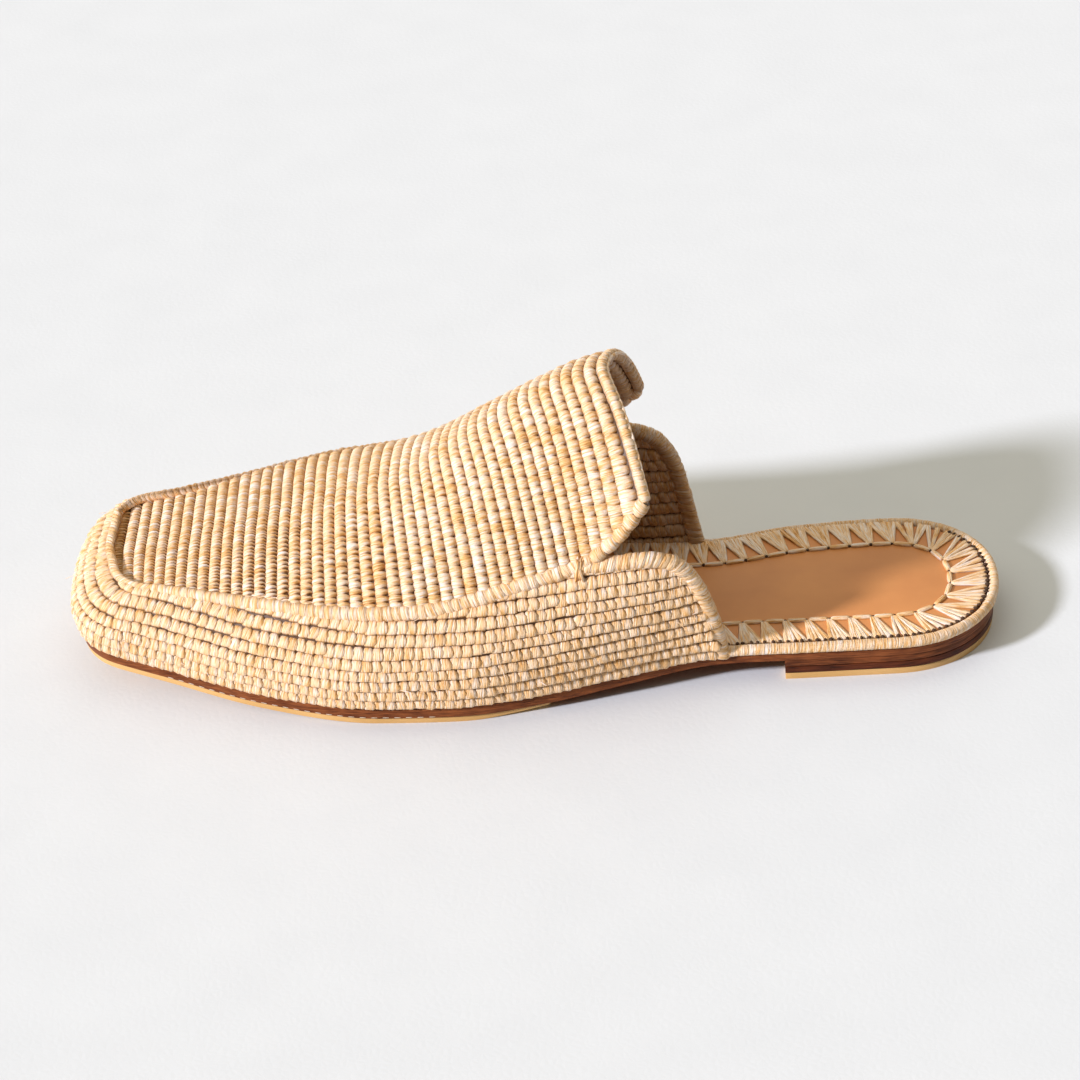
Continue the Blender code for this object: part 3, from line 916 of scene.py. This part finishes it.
def cord(name, points, radius, finish):
    """Plain round cord along a path."""
    curve = bpy.data.curves.new(name, "CURVE")
    curve.dimensions = "3D"
    curve.bevel_depth = radius
    curve.bevel_resolution = 2
    curve.use_fill_caps = True
    spline = curve.splines.new("POLY")
    spline.points.add(len(points) - 1)
    for spot, point in zip(spline.points, points - ORIGIN):
        spot.co = (*point, 1.0)
    path = bpy.data.objects.new(name + "_path", curve)
    bpy.context.scene.collection.objects.link(path)
    bpy.context.view_layer.update()
    mesh = bpy.data.meshes.new_from_object(path.evaluated_get(bpy.context.evaluated_depsgraph_get()))
    bpy.data.objects.remove(path)
    mesh.name = name
    mesh.materials.clear()
    return finished(name, mesh, finish)


# painted shade: the cores are dark where they show between the wraps
for name, path in EDGES.items():
    cord(name + "_core", path, min(RADII[name]) * CORE_SHARE, "raffia_core")
print(len(EDGES), "cords")

# %% [markdown]
# ## Wall stitches
# Each row of the wall is a cord wound with flat raffia, so it reads as a run of upright wraps about
# 3 mm wide, level with the sole. The wraps lean out a little at the foot, which throws a faint shadow
# between rows, and narrow at the top, which leaves a notch between neighbours. Painted shade on the
# wraps' top and bottom edges, at the ends of their top and on their inner face darkens the row lines,
# the notches and the inside. A wrap goes right through the wall, so one shape shows outside and inside.

# %% Places of the wall stitches
ROW_PITCH = 0.0042
ROW_LEAST = 0.0016
ROW_WAVER = 0.00022
WAVER_TURNS = (9, 17)
STITCH_PITCH = 0.0030
STITCH_STRAY = 0.04
WAY_END = 0.995
WAY_STEPS = 901


def wall_stitches():
    """Way, climb of the foot and rise of all the stitches in the wall."""
    ways = np.linspace(-1, 1, WAY_STEPS)
    height = wall_column(ways)[3]
    found = []
    for row in range(int(height.max() / ROW_PITCH) + 1):
        low = row * ROW_PITCH + ROW_WAVER * np.sin(ways * chance.uniform(*WAVER_TURNS) + row)
        high = np.minimum((row + 1) * ROW_PITCH, height)
        travelled = path_lengths(wall_at(ways, np.clip((low + high) / 2, 0, height)))
        count = int(travelled[-1] / STITCH_PITCH)
        at = (np.arange(count) + 0.5 * (row % 2) + chance.normal(0, STITCH_STRAY, count)) * STITCH_PITCH
        way = np.interp(at, travelled, ways)
        foot, rise = np.interp(way, ways, low), np.interp(way, ways, high - low)
        kept = (rise > ROW_LEAST) & (np.abs(way) < WAY_END)
        found.append(np.column_stack([way, foot, rise])[kept])
    return np.vstack(found)


way, foot, rise = wall_stitches().T
print(len(way), "wall stitches")

# %% Lay the wall stitches
NUDGE = 0.0004
ROW_JITTER = 0.00012
STITCH_DEPTH = 0.0033
# angle and spread of the turn about each axis of a stitch
STITCH_TURNS = [(math.radians(-15), 0.03), (math.radians(-10), 0.03), (0.0, 0.05)]
STITCH_LEAN = (0.10, 0.07)
# share and spread of each size
STITCH_FILL = [(1.60, 0.05), (0.98, 0.03), (1.0, 0.04)]


def tones_of(count, middle=0.5, spread=0.065):
    """Tones of separate strands."""
    return np.clip(chance.normal(middle, spread, count), 0, 1)


def wall_frames(way, climb):
    """Frames on the wall: first axis along the row, second up it, third out of it."""
    run = wall_at(np.maximum(way - NUDGE, -1), climb) - wall_at(np.minimum(way + NUDGE, 1), climb)
    lift = wall_at(way, climb + NUDGE) - wall_at(way, climb - NUDGE)
    return frames(run, np.cross(run, lift))


count = len(way)
climb = foot + rise / 2
climb = climb + chance.normal(0, ROW_JITTER, count)
axes = wall_frames(way, climb)
low, high = [wall_at(way, climb + step) + wall_frames(way, climb + step)[:, 2] * STITCH_DEPTH / 2
             for step in (-NUDGE, NUDGE)]
# rows spread apart on the outside of the swollen wall
stretch = np.linalg.norm(high - low, axis=1) / (2 * NUDGE)
for about, (angle, spread) in enumerate(STITCH_TURNS):
    axes = turned(axes, about, angle + chance.normal(0, spread, count))
axes[:, 1] += axes[:, 0] * (STITCH_LEAN[0] + chance.normal(0, STITCH_LEAN[1], count))[:, None]
fills = [chance.normal(fill, spread, count) for fill, spread in STITCH_FILL]
sizes = np.column_stack([STITCH_PITCH * fills[0], rise * stretch * fills[1], STITCH_DEPTH * fills[2]])
strew("wall_stitches", STITCHES, wall_at(way, climb), axes, sizes, tones_of(count, 0.48, 0.035))

# %% [markdown]
# ## Ribs of the apron and tongue
# The apron is one long cord laid to and fro across the foot and wound with raffia, so it reads as
# ribs. Near the toe the windings are fine and show only as a comb of notches on the heel side.
# Towards the tongue they grow into beads a few millimetres long. Each winding is one barrel, and
# three shapes follow one another from toe to tongue, mixed where they meet, so that no step shows.

# %% Places of the windings
RIB_COUNT = 46
RIB_STEP = 1 / (RIB_COUNT - 0.5)
RIB_END = 0.985
RIB_STEPS = 301
BEAD_PITCH = (0.0013, 0.0032)
BEAD_CHANGE = (0.28, 0.70)
BEAD_SPREAD = (0.8, 1.25)
BEAD_SPARE = 1.5


def rib_beads():
    """Way along, way across, length and share of the change for every winding."""
    found = []
    across = np.linspace(RIB_END, -RIB_END, RIB_STEPS)
    for rib in range(RIB_COUNT - 1):
        along = (rib + 0.5) * RIB_STEP
        change = np.clip((along - BEAD_CHANGE[0]) / (BEAD_CHANGE[1] - BEAD_CHANGE[0]), 0, 1)
        pitch = BEAD_PITCH[0] + (BEAD_PITCH[1] - BEAD_PITCH[0]) * change
        travelled = path_lengths(apron_at(along, across))
        ends = np.cumsum(pitch * chance.uniform(*BEAD_SPREAD, int(travelled[-1] / pitch * BEAD_SPARE)))
        ends = ends[ends < travelled[-1]]
        ends = ends / ends[-1] * travelled[-1]
        starts = np.concatenate([[0], ends[:-1]])
        middle = np.interp((starts + ends) / 2, travelled, across)
        whole_rib = np.ones(len(ends))
        found.append(np.column_stack([whole_rib * along, middle, ends - starts, whole_rib * change]))
    return np.vstack(found)


along, across, length, change = rib_beads().T
print(len(along), "windings on", RIB_COUNT - 1, "ribs")

# %% Wind the ribs
RIB_FILL = 1.08
RIB_HIGH = 0.0040
RIB_TURN = 0.03
RIB_OVERLAP = (1.08, 1.30)
RIB_STAGES = (0.18, 0.60)
STAGE_BLUR = 0.05
RIB_TONE_SPREAD = 0.03
# tone taken off the first rib as painted shadow of the toe seam
FIRST_RIB_PAINTED_SHADOW = -0.25


def rib_frames(along, across):
    """Frames on the apron and its stretch: first axis to the lateral side, second towards the heel."""
    side = sunk_apron(along, across - NUDGE) - sunk_apron(along, across + NUDGE)
    back = sunk_apron(along + NUDGE, across) - sunk_apron(along - NUDGE, across)
    return frames(side, np.cross(side, back)), np.linalg.norm(back, axis=-1) / (2 * NUDGE)


count = len(along)
places = sunk_apron(along, across)
axes, stretch = rib_frames(along, across)
axes = turned(axes, 2, chance.normal(RIB_TURN, RIB_TURN, count))
sizes = np.column_stack([
    length * (RIB_OVERLAP[0] + (RIB_OVERLAP[1] - RIB_OVERLAP[0]) * change),
    stretch * RIB_STEP * RIB_FILL * chance.normal(1.0, 0.015, count),
    RIB_HIGH * chance.normal(1.0, 0.02, count),
])
by_rib = chance.normal(0, RIB_TONE_SPREAD, RIB_COUNT)
# painted shadow: the first rib is darkened where the raised toe seam shades it
by_rib[0] += FIRST_RIB_PAINTED_SHADOW
rib_tones_and_shadow = np.clip(by_rib[(along / RIB_STEP).astype(int)] + tones_of(count), 0, 1)
stage = np.digitize(change + chance.normal(0, STAGE_BLUR, count), RIB_STAGES)
kinds = (("toe_ribs", FINE_WRAPS), ("apron_ribs", MID_WRAPS), ("tongue_ribs", BEADS))
for index, (name, shapes) in enumerate(kinds):
    chosen = stage == index
    strew(name, shapes, places[chosen], axes[chosen], sizes[chosen], rib_tones_and_shadow[chosen])

# %% [markdown]
# ## Wound edges
# The seam round the apron, the wing edges, the tongue's edge and the heel's rim are all cords wound
# with raffia. The wraps lie nearly square to the cord on the lateral seam and the tongue. They slant
# round the toe, along the medial seam and down the wings. A shear of the wrap's frame gives the slant,
# so straight and slanting wraps come from the same shapes.

# %% Wind strands round a cord
RUN_REACH = 0.4
FOOT_HEIGHT = 0.02
SLANT_SPREAD = 0.07
PITCH_SPREAD = 0.05
GIRTH_SPREAD = 0.03


def wound(name, shapes, path, radii, pitch, slant, overlap, spread):
    """Wraps round a path, with radii from its start to its end."""
    travelled = path_lengths(path)
    count = int(travelled[-1] / pitch)
    at = (np.arange(count) + 0.5) / count
    step = RUN_REACH * pitch / travelled[-1]
    places = along_path(path, at)
    run = along_path(path, np.minimum(at + step, 1)) - along_path(path, np.maximum(at - step, 0))
    inside = np.column_stack([places[:, 0], np.zeros(count), np.full(count, FOOT_HEIGHT)])
    axes = frames(run, places - inside)
    axes[:, 1] += axes[:, 0] * chance.normal(slant, SLANT_SPREAD, count)[:, None]
    girth = 2 * np.interp(at, np.linspace(0, 1, len(radii)), radii) * chance.normal(1.0, spread, count)
    sizes = np.column_stack([pitch * chance.normal(overlap, PITCH_SPREAD, count), girth, girth])
    return strew(name, shapes, places, axes, sizes, tones_of(count))


# shapes, pitch, slant and overlap of the wraps on each edge
WINDINGS = {
    "lateral_seam": (WRAPS, 0.0026, -0.12, 1.40),
    "medial_seam": (SEAM_WRAPS, 0.0020, 0.70, 1.10),
    "toe_seam": (WRAPS, 0.0017, 0.60, 1.30),
    "lateral_wing": (BINDINGS, 0.0022, 0.30, 1.35),
    "medial_wing": (BINDINGS, 0.0022, -0.30, 1.35),
    "lateral_tongue": (TONGUE_WRAPS, 0.0043, 0.15, 1.35),
    "medial_tongue": (TONGUE_WRAPS, 0.0043, -0.15, 1.35),
    "tongue_end": (BEADS, 0.0031, 0.05, 1.36),
}
for name, (shapes, *winding) in WINDINGS.items():
    wound(name + "_wraps", shapes, EDGES[name], RADII[name], *winding, GIRTH_SPREAD)

# %% [markdown]
# ## Sewing strands
# Finer strands finish the edges: a scalloped line along the top of the seam and along the tongue's back
# edge, a small bundle that ties the tongue to the lateral wing, and stray fibres. They are strands laid
# between two points, so one function serves them all.

# %% Scalloped lines
UP = np.array([0.0, 0.0, 1.0])
LINE_PITCH = 0.0029
LINE_FILL = 1.25
LINE_SIZE = (0.0011, 0.0011)
LINE_TONE = 0.62
SEAM_LINE_FIRST = 12
SEAM_LINE_SHIFT = (0.0, 0.0016, 0.0018)
END_LINE_SHIFT = 0.0017
NEAR_END = 0.98


def laid(name, shapes, starts, ends, size, facing, tones, finish="raffia"):
    """Flat strands from start points to end points, with their flat side to a facing direction."""
    run = ends - starts
    axes = frames(run, np.broadcast_to(facing, run.shape))
    sizes = np.column_stack([np.linalg.norm(run, axis=1), np.broadcast_to(size, (len(run), 2))])
    return strew(name, shapes, (starts + ends) / 2, axes, sizes, tones, finish)


tongue_back = unit(EDGES["tongue_end"] - apron_at(NEAR_END, np.linspace(1, -1, END_POINTS)))
LINES = {
    "lateral_seam_line": EDGES["lateral_seam"][SEAM_LINE_FIRST:] + SEAM_LINE_SHIFT,
    "tongue_end_line": EDGES["tongue_end"] + tongue_back * END_LINE_SHIFT,
}
for name, path in LINES.items():
    count = int(path_lengths(path)[-1] / LINE_PITCH)
    points = along_path(path, np.linspace(0, 1, count + 1))
    ends = points[:-1] + np.diff(points, axis=0) * LINE_FILL
    laid(name, LENSES, points[:-1], ends, LINE_SIZE, UP, tones_of(count, LINE_TONE))

# %% Tie at the throat
TIE_STRANDS = 7
TIE_SIZE = (0.0011, 0.0011)
TIE_OUT = (0.0, -0.0026, 0.0)
TIE_FACING = (0.0, -1.0, 0.2)
# shift and spread of the strands' lower and upper ends
TIE_ENDS = [
    ((0.0, 0.0, -0.0034), (0.0008, 0.0003, 0.0009)),
    ((-0.0006, 0.0010, 0.0036), (0.0011, 0.0004, 0.0006)),
]

tie = np.array(WINGS[LATERAL][0]) + TIE_OUT
tie_low, tie_high = [tie + chance.normal(0, 1, (TIE_STRANDS, 3)) * spread + shift
                     for shift, spread in TIE_ENDS]
laid("throat_tie", LENSES, tie_low, tie_high, TIE_SIZE, TIE_FACING, tones_of(TIE_STRANDS, 0.45, 0.12))

# %% Stray fibres
STRAY_COUNT = 110
STRAY_SIZE = (0.00022, 0.00016)
STRAY_LENGTH = (0.001, 0.003)
STRAY_CLIMB = (0.05, 1.0)
STRAY_ROOT = 0.0012
STRAY_OUT = 0.6
STRAY_WILD = 0.7
STRAY_TONE = 0.7

way, share = chance.uniform(-1, 1, STRAY_COUNT), chance.uniform(*STRAY_CLIMB, STRAY_COUNT)
foot, top, swell, height = wall_column(way)
outward = unit(swell)
root = wall_at(way, share * height) + outward * STRAY_ROOT
heading = outward * STRAY_OUT + chance.normal(0, STRAY_WILD, (STRAY_COUNT, 3))
tip = root + heading * chance.uniform(*STRAY_LENGTH, (STRAY_COUNT, 1))
laid("stray_fibres", LENSES, root, tip, STRAY_SIZE, UP, tones_of(STRAY_COUNT, STRAY_TONE))

# %% [markdown]
# ## Heel seat
# Behind the wings a raffia rim edges the open heel seat, and the insole is sewn down with fans, which
# run on inside the upper. From a hole in the leather five flat strands spread to the rim, each fan
# leaning the way the sewing went. A back stitch lies from hole to hole along the inner line. On the
# lateral side small holes show where the strands dive into the rim, and on the medial side the strands
# reach over it. Lines at fixed insets from the sole edge keep all of this parallel to the rim.

# %% Rim of the heel seat
RIM_RADIUS = 0.0015
RIM_INSET = 0.0001
RIM_START = 0.0010
RIM_PITCH = 0.0022
RIM_SLANT = 0.15
RIM_OVERLAP = 1.25
RIM_SPREAD = 0.012
RIM_CORE = 0.8
RIM_POINTS = 120
SEAT_POINTS = 260


def seat_line(inset, lift, first):
    """Line round the heel from the lateral to the medial first station, at an inset and a lift."""
    lateral = edge(np.linspace(share_of(first[LATERAL]), 1, SEAT_POINTS), LATERAL, inset)
    medial = edge(np.linspace(1, share_of(first[MEDIAL]), SEAT_POINTS), MEDIAL, inset)
    plan = np.vstack([lateral, medial[1:]])
    return np.column_stack([plan, sole_top(plan[:, 0]) + GAP + lift])


RIM_FIRST = {side: WING_FOOT[side] + RIM_START for side in SIDES}
RIM = along_path(seat_line(RIM_INSET, RIM_RADIUS, RIM_FIRST), np.linspace(0, 1, RIM_POINTS))
rim_core = cord("rim_core", RIM, RIM_RADIUS * RIM_CORE, "raffia")
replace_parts(rim_core, "heel_rim_cord")
wound("rim_wraps", RIM_WRAPS, RIM, [RIM_RADIUS], RIM_PITCH, RIM_SLANT, RIM_OVERLAP, RIM_SPREAD)

# %% Lines and places of the fans
INSOLE_INSET = 0.0026
INSOLE_THICK = 0.0022
FAN_PITCH = 0.0066
FAN_PHASE = 0.1
FAN_INSET = 0.0134
FAN_LIFT = 0.0002
FAN_FIRST = {LATERAL: 0.170, MEDIAL: 0.150}
HOLE_INSET = 0.0020
HOLE_SINK = 0.0007
FAR_INSET = 0.0006
FAR_SINK = 0.0003
FAR_FADE = 1.5


def at_share(line, share):
    """Points of a line by share of its point count, so that inner and outer lines stay matched."""
    last = len(line) - 1
    return read_at(line, np.arange(len(line)), np.clip(share, 0, 1) * last)


inner_line = seat_line(FAN_INSET, INSOLE_THICK + FAN_LIFT, FAN_FIRST)
near_line = seat_line(HOLE_INSET, 2 * RIM_RADIUS - HOLE_SINK, FAN_FIRST)
far_line = seat_line(FAR_INSET, 2 * RIM_RADIUS - FAR_SINK, FAN_FIRST)
far = np.clip(np.linspace(-FAR_FADE, FAR_FADE, len(near_line)), 0, 1)[:, None]
outer_line = near_line * (1 - far) + far_line * far
travelled = path_lengths(inner_line)
fan_count = int(travelled[-1] / FAN_PITCH)
shares = np.interp((np.arange(fan_count) + FAN_PHASE) * travelled[-1] / fan_count, travelled,
                   np.linspace(0, 1, len(inner_line)))
fan_share = np.append(np.diff(shares), shares[-1] - shares[-2])
print(fan_count, "fans round the seat")

# %% Fans and back stitches
FAN_STRANDS = 5
FAN_SPREAD = 0.90
FAN_APEX = 0.16
FAN_STRAY = 0.04
FAN_SIZE = (0.0021, 0.0009)
BACK_SPAN = (0.06, 0.96)
BACK_SIZE = (0.0019, 0.0015)

fan_no = np.repeat(np.arange(fan_count), FAN_STRANDS)
strand = np.tile(np.arange(FAN_STRANDS), fan_count) / (FAN_STRANDS - 1)
reach = shares[fan_no] + fan_share[fan_no] * FAN_SPREAD * strand
reach += chance.normal(0, FAN_STRAY, len(reach)) * fan_share[fan_no]
apart = shares[fan_no] + fan_share[fan_no] * FAN_APEX * (strand - 0.5)
laid("seat_fans", FLARED, at_share(inner_line, apart), at_share(outer_line, reach),
     FAN_SIZE, UP, tones_of(len(fan_no), 0.55, 0.09))
back_start, back_end = [at_share(inner_line, shares[:-1] + fan_share[:-1] * part) for part in BACK_SPAN]
laid("seat_back_stitches", CORDS, back_start, back_end, BACK_SIZE, UP, tones_of(fan_count - 1, 0.5))

# %% Holes
HOLE_PITCH = 0.0022
HOLE_END = 0.62
HOLE_LIFT = -0.0002
HOLE_STRAY = 0.10
HOLE_SPREAD = 0.15
RIM_HOLE = np.array([0.0011, 0.0015, 0.0010])
SEAT_HOLE = np.array([0.0013, 0.0013, 0.0009])


def pierced(name, spots, run, size):
    """Holes at spots, lying along a run, as small dark shapes of painted shade."""
    spots = spots + run * chance.normal(0, HOLE_STRAY, (len(spots), 1))
    axes = frames(run, np.broadcast_to(UP, run.shape))
    sizes = size * chance.normal(1.0, HOLE_SPREAD, (len(spots), 3))
    strew(name, HOLES, spots, axes, sizes, np.full(len(spots), 0.5), "hole")


rim_line = seat_line(HOLE_INSET, 2 * RIM_RADIUS + HOLE_LIFT, RIM_FIRST)
hole_count = int(path_lengths(rim_line)[-1] * HOLE_END / HOLE_PITCH)
hole_ends = along_path(rim_line, np.linspace(0, HOLE_END, hole_count + 1))
pierced("rim_holes", (hole_ends[1:] + hole_ends[:-1]) / 2, np.diff(hole_ends, axis=0), RIM_HOLE)
apex_spots = at_share(inner_line, shares)
pierced("seat_holes", apex_spots, np.gradient(apex_spots, axis=0) / 2, SEAT_HOLE)
print(hole_count, "holes in the rim")

# %% [markdown]
# ## Sole, heel and insole
# The sole is cut leather with a rubber half sole, and the heel is two leather lifts over a rubber top
# lift. Real cut edges are sanded round, so each layer is a flat outline raised to its thickness, with
# a small bevel on its rims to catch the light.

# %% Make a layer
RIM_ANGLE = math.radians(50)
SHARP_ANGLE = math.radians(35)
SAME_PLACE = 0.000001
Layer = namedtuple("Layer", "node ends inset under over steps bevel finish slot")


def sole_layer(name, layer):
    """Layer of the sole between two stations, with rounded rims."""
    start, end = share_of(layer.ends[0]), share_of(layer.ends[1])
    form = bmesh.new()
    bmesh.ops.create_grid(form, x_segments=layer.steps, y_segments=1, size=1.0)
    for vert in form.verts:
        share = start + (end - start) * (vert.co.x + 1) / 2
        station, across = edge(share, LATERAL if vert.co.y < 0 else MEDIAL, layer.inset)
        station = min(max(station, layer.ends[0]), layer.ends[1])
        vert.co = np.array([station, across, layer.under(station)]) - ORIGIN
    bmesh.ops.remove_doubles(form, verts=form.verts, dist=SAME_PLACE)
    raised = bmesh.ops.extrude_face_region(form, geom=form.faces[:])
    for vert in raised["geom"]:
        if isinstance(vert, bmesh.types.BMVert):
            vert.co.z = layer.over(vert.co.x + ORIGIN[0])
    bmesh.ops.recalc_face_normals(form, faces=form.faces)
    rims = [line for line in form.edges if line.calc_face_angle(0.0) > RIM_ANGLE]
    bmesh.ops.bevel(form, geom=rims, offset=layer.bevel, offset_type="OFFSET", segments=2, profile=0.5,
                    affect="EDGES", material=-1, clamp_overlap=True)
    mesh = bpy.data.meshes.new(name)
    form.to_mesh(mesh)
    form.free()
    mesh.shade_smooth()
    mesh.set_sharp_from_angle(angle=SHARP_ANGLE)
    print(name, "has", len(mesh.polygons), "faces")
    return finished(name, mesh, layer.finish)


# %% Sole layers
RUBBER_THICK = 0.0019
RUBBER_INSET = 0.0006
RUBBER_SKIVE = (0.126, 0.148)
RUBBER_EDGE = 0.0006
TOP_LIFT_THICK = 0.0021
TOP_LIFT_INSET = 0.0007
HEEL_INSET = 0.0004
HEEL_ENDS = (0.2195, LENGTH)
HEEL_BEVEL = 0.0003
LIFT_ROOM = (sole_under(LENGTH) - TOP_LIFT_THICK - GAP) / 2


def rubber_under(station):
    """Underside of the half sole, skived thin at its back end."""
    fade = np.clip((station - RUBBER_SKIVE[0]) / (RUBBER_SKIVE[1] - RUBBER_SKIVE[0]), 0, 1)
    return sole_under(station) - GAP - RUBBER_THICK + fade * (RUBBER_THICK - RUBBER_EDGE)


def lifted(face, lift):
    """Height function of a face at a lift from another one."""
    return lambda station: face(station) + lift


def level_at(height):
    """Height function of a flat face."""
    return lambda station: height


layers = {
    "sole_edge": Layer("leather_sole", (0.0, LENGTH), 0.0, sole_under, sole_top, 120, 0.0004,
                       "sole_leather", "sole_leather"),
    "half_sole": Layer("forefoot_outsole", (0.0, RUBBER_SKIVE[1]), RUBBER_INSET, rubber_under,
                       lifted(sole_under, -GAP), 90, 0.00025, "honey_rubber", "honey_rubber"),
    "top_lift": Layer("heel_top_lift", HEEL_ENDS, TOP_LIFT_INSET, level_at(0.0), level_at(TOP_LIFT_THICK),
                      60, HEEL_BEVEL, "honey_rubber", "honey_rubber"),
    "sock": Layer("insole", (0.0, LENGTH), INSOLE_INSET, lifted(sole_top, GAP),
                  lifted(sole_top, GAP + INSOLE_THICK), 120, 0.0006, "insole_leather", "insole_leather"),
}
for lift, finish in ((1, "lift_leather_dark"), (2, "lift_leather_light")):
    bottom = TOP_LIFT_THICK + GAP + LIFT_ROOM * (lift - 1)
    layers["lift_%d" % lift] = Layer(
        "heel_lift_%d" % lift, HEEL_ENDS, HEEL_INSET, level_at(bottom), level_at(bottom + LIFT_ROOM - GAP),
        60, HEEL_BEVEL, finish, "sole_leather")
for name, layer in layers.items():
    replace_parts(sole_layer(name, layer), layer.node)

# %% [markdown]
# ## Sole thread
# A fine pale thread holds the half sole and shows as a row of short stitches along its joint at the
# forefoot. A dashed texture would stay flat, so each stitch is a small lens laid along the joint.

# %% Thread along the half sole
THREAD_PITCH = 0.0034
THREAD_SPAN = (0.030, 0.115)
THREAD_POINTS = 200
THREAD_LIFT = 0.0003
THREAD_FILL = 0.55
THREAD_SIZE = (0.00025, 0.00025)

for name, side in (("lateral_thread", LATERAL), ("medial_thread", MEDIAL)):
    plan = edge(np.linspace(share_of(THREAD_SPAN[0]), share_of(THREAD_SPAN[1]), THREAD_POINTS), side, 0.0)
    joint = np.column_stack([plan, sole_under(plan[:, 0]) + THREAD_LIFT])
    points = along_path(joint, np.linspace(0, 1, int(path_lengths(joint)[-1] / THREAD_PITCH)))
    ends = points[:-1] + np.diff(points, axis=0) * THREAD_FILL
    laid(name, LENSES, points[:-1], ends, THREAD_SIZE, UP, tones_of(len(ends)), "thread")

low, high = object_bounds()
print("visual box in mm:", [round((b - a) * MM, 1) for a, b in zip(low, high)])
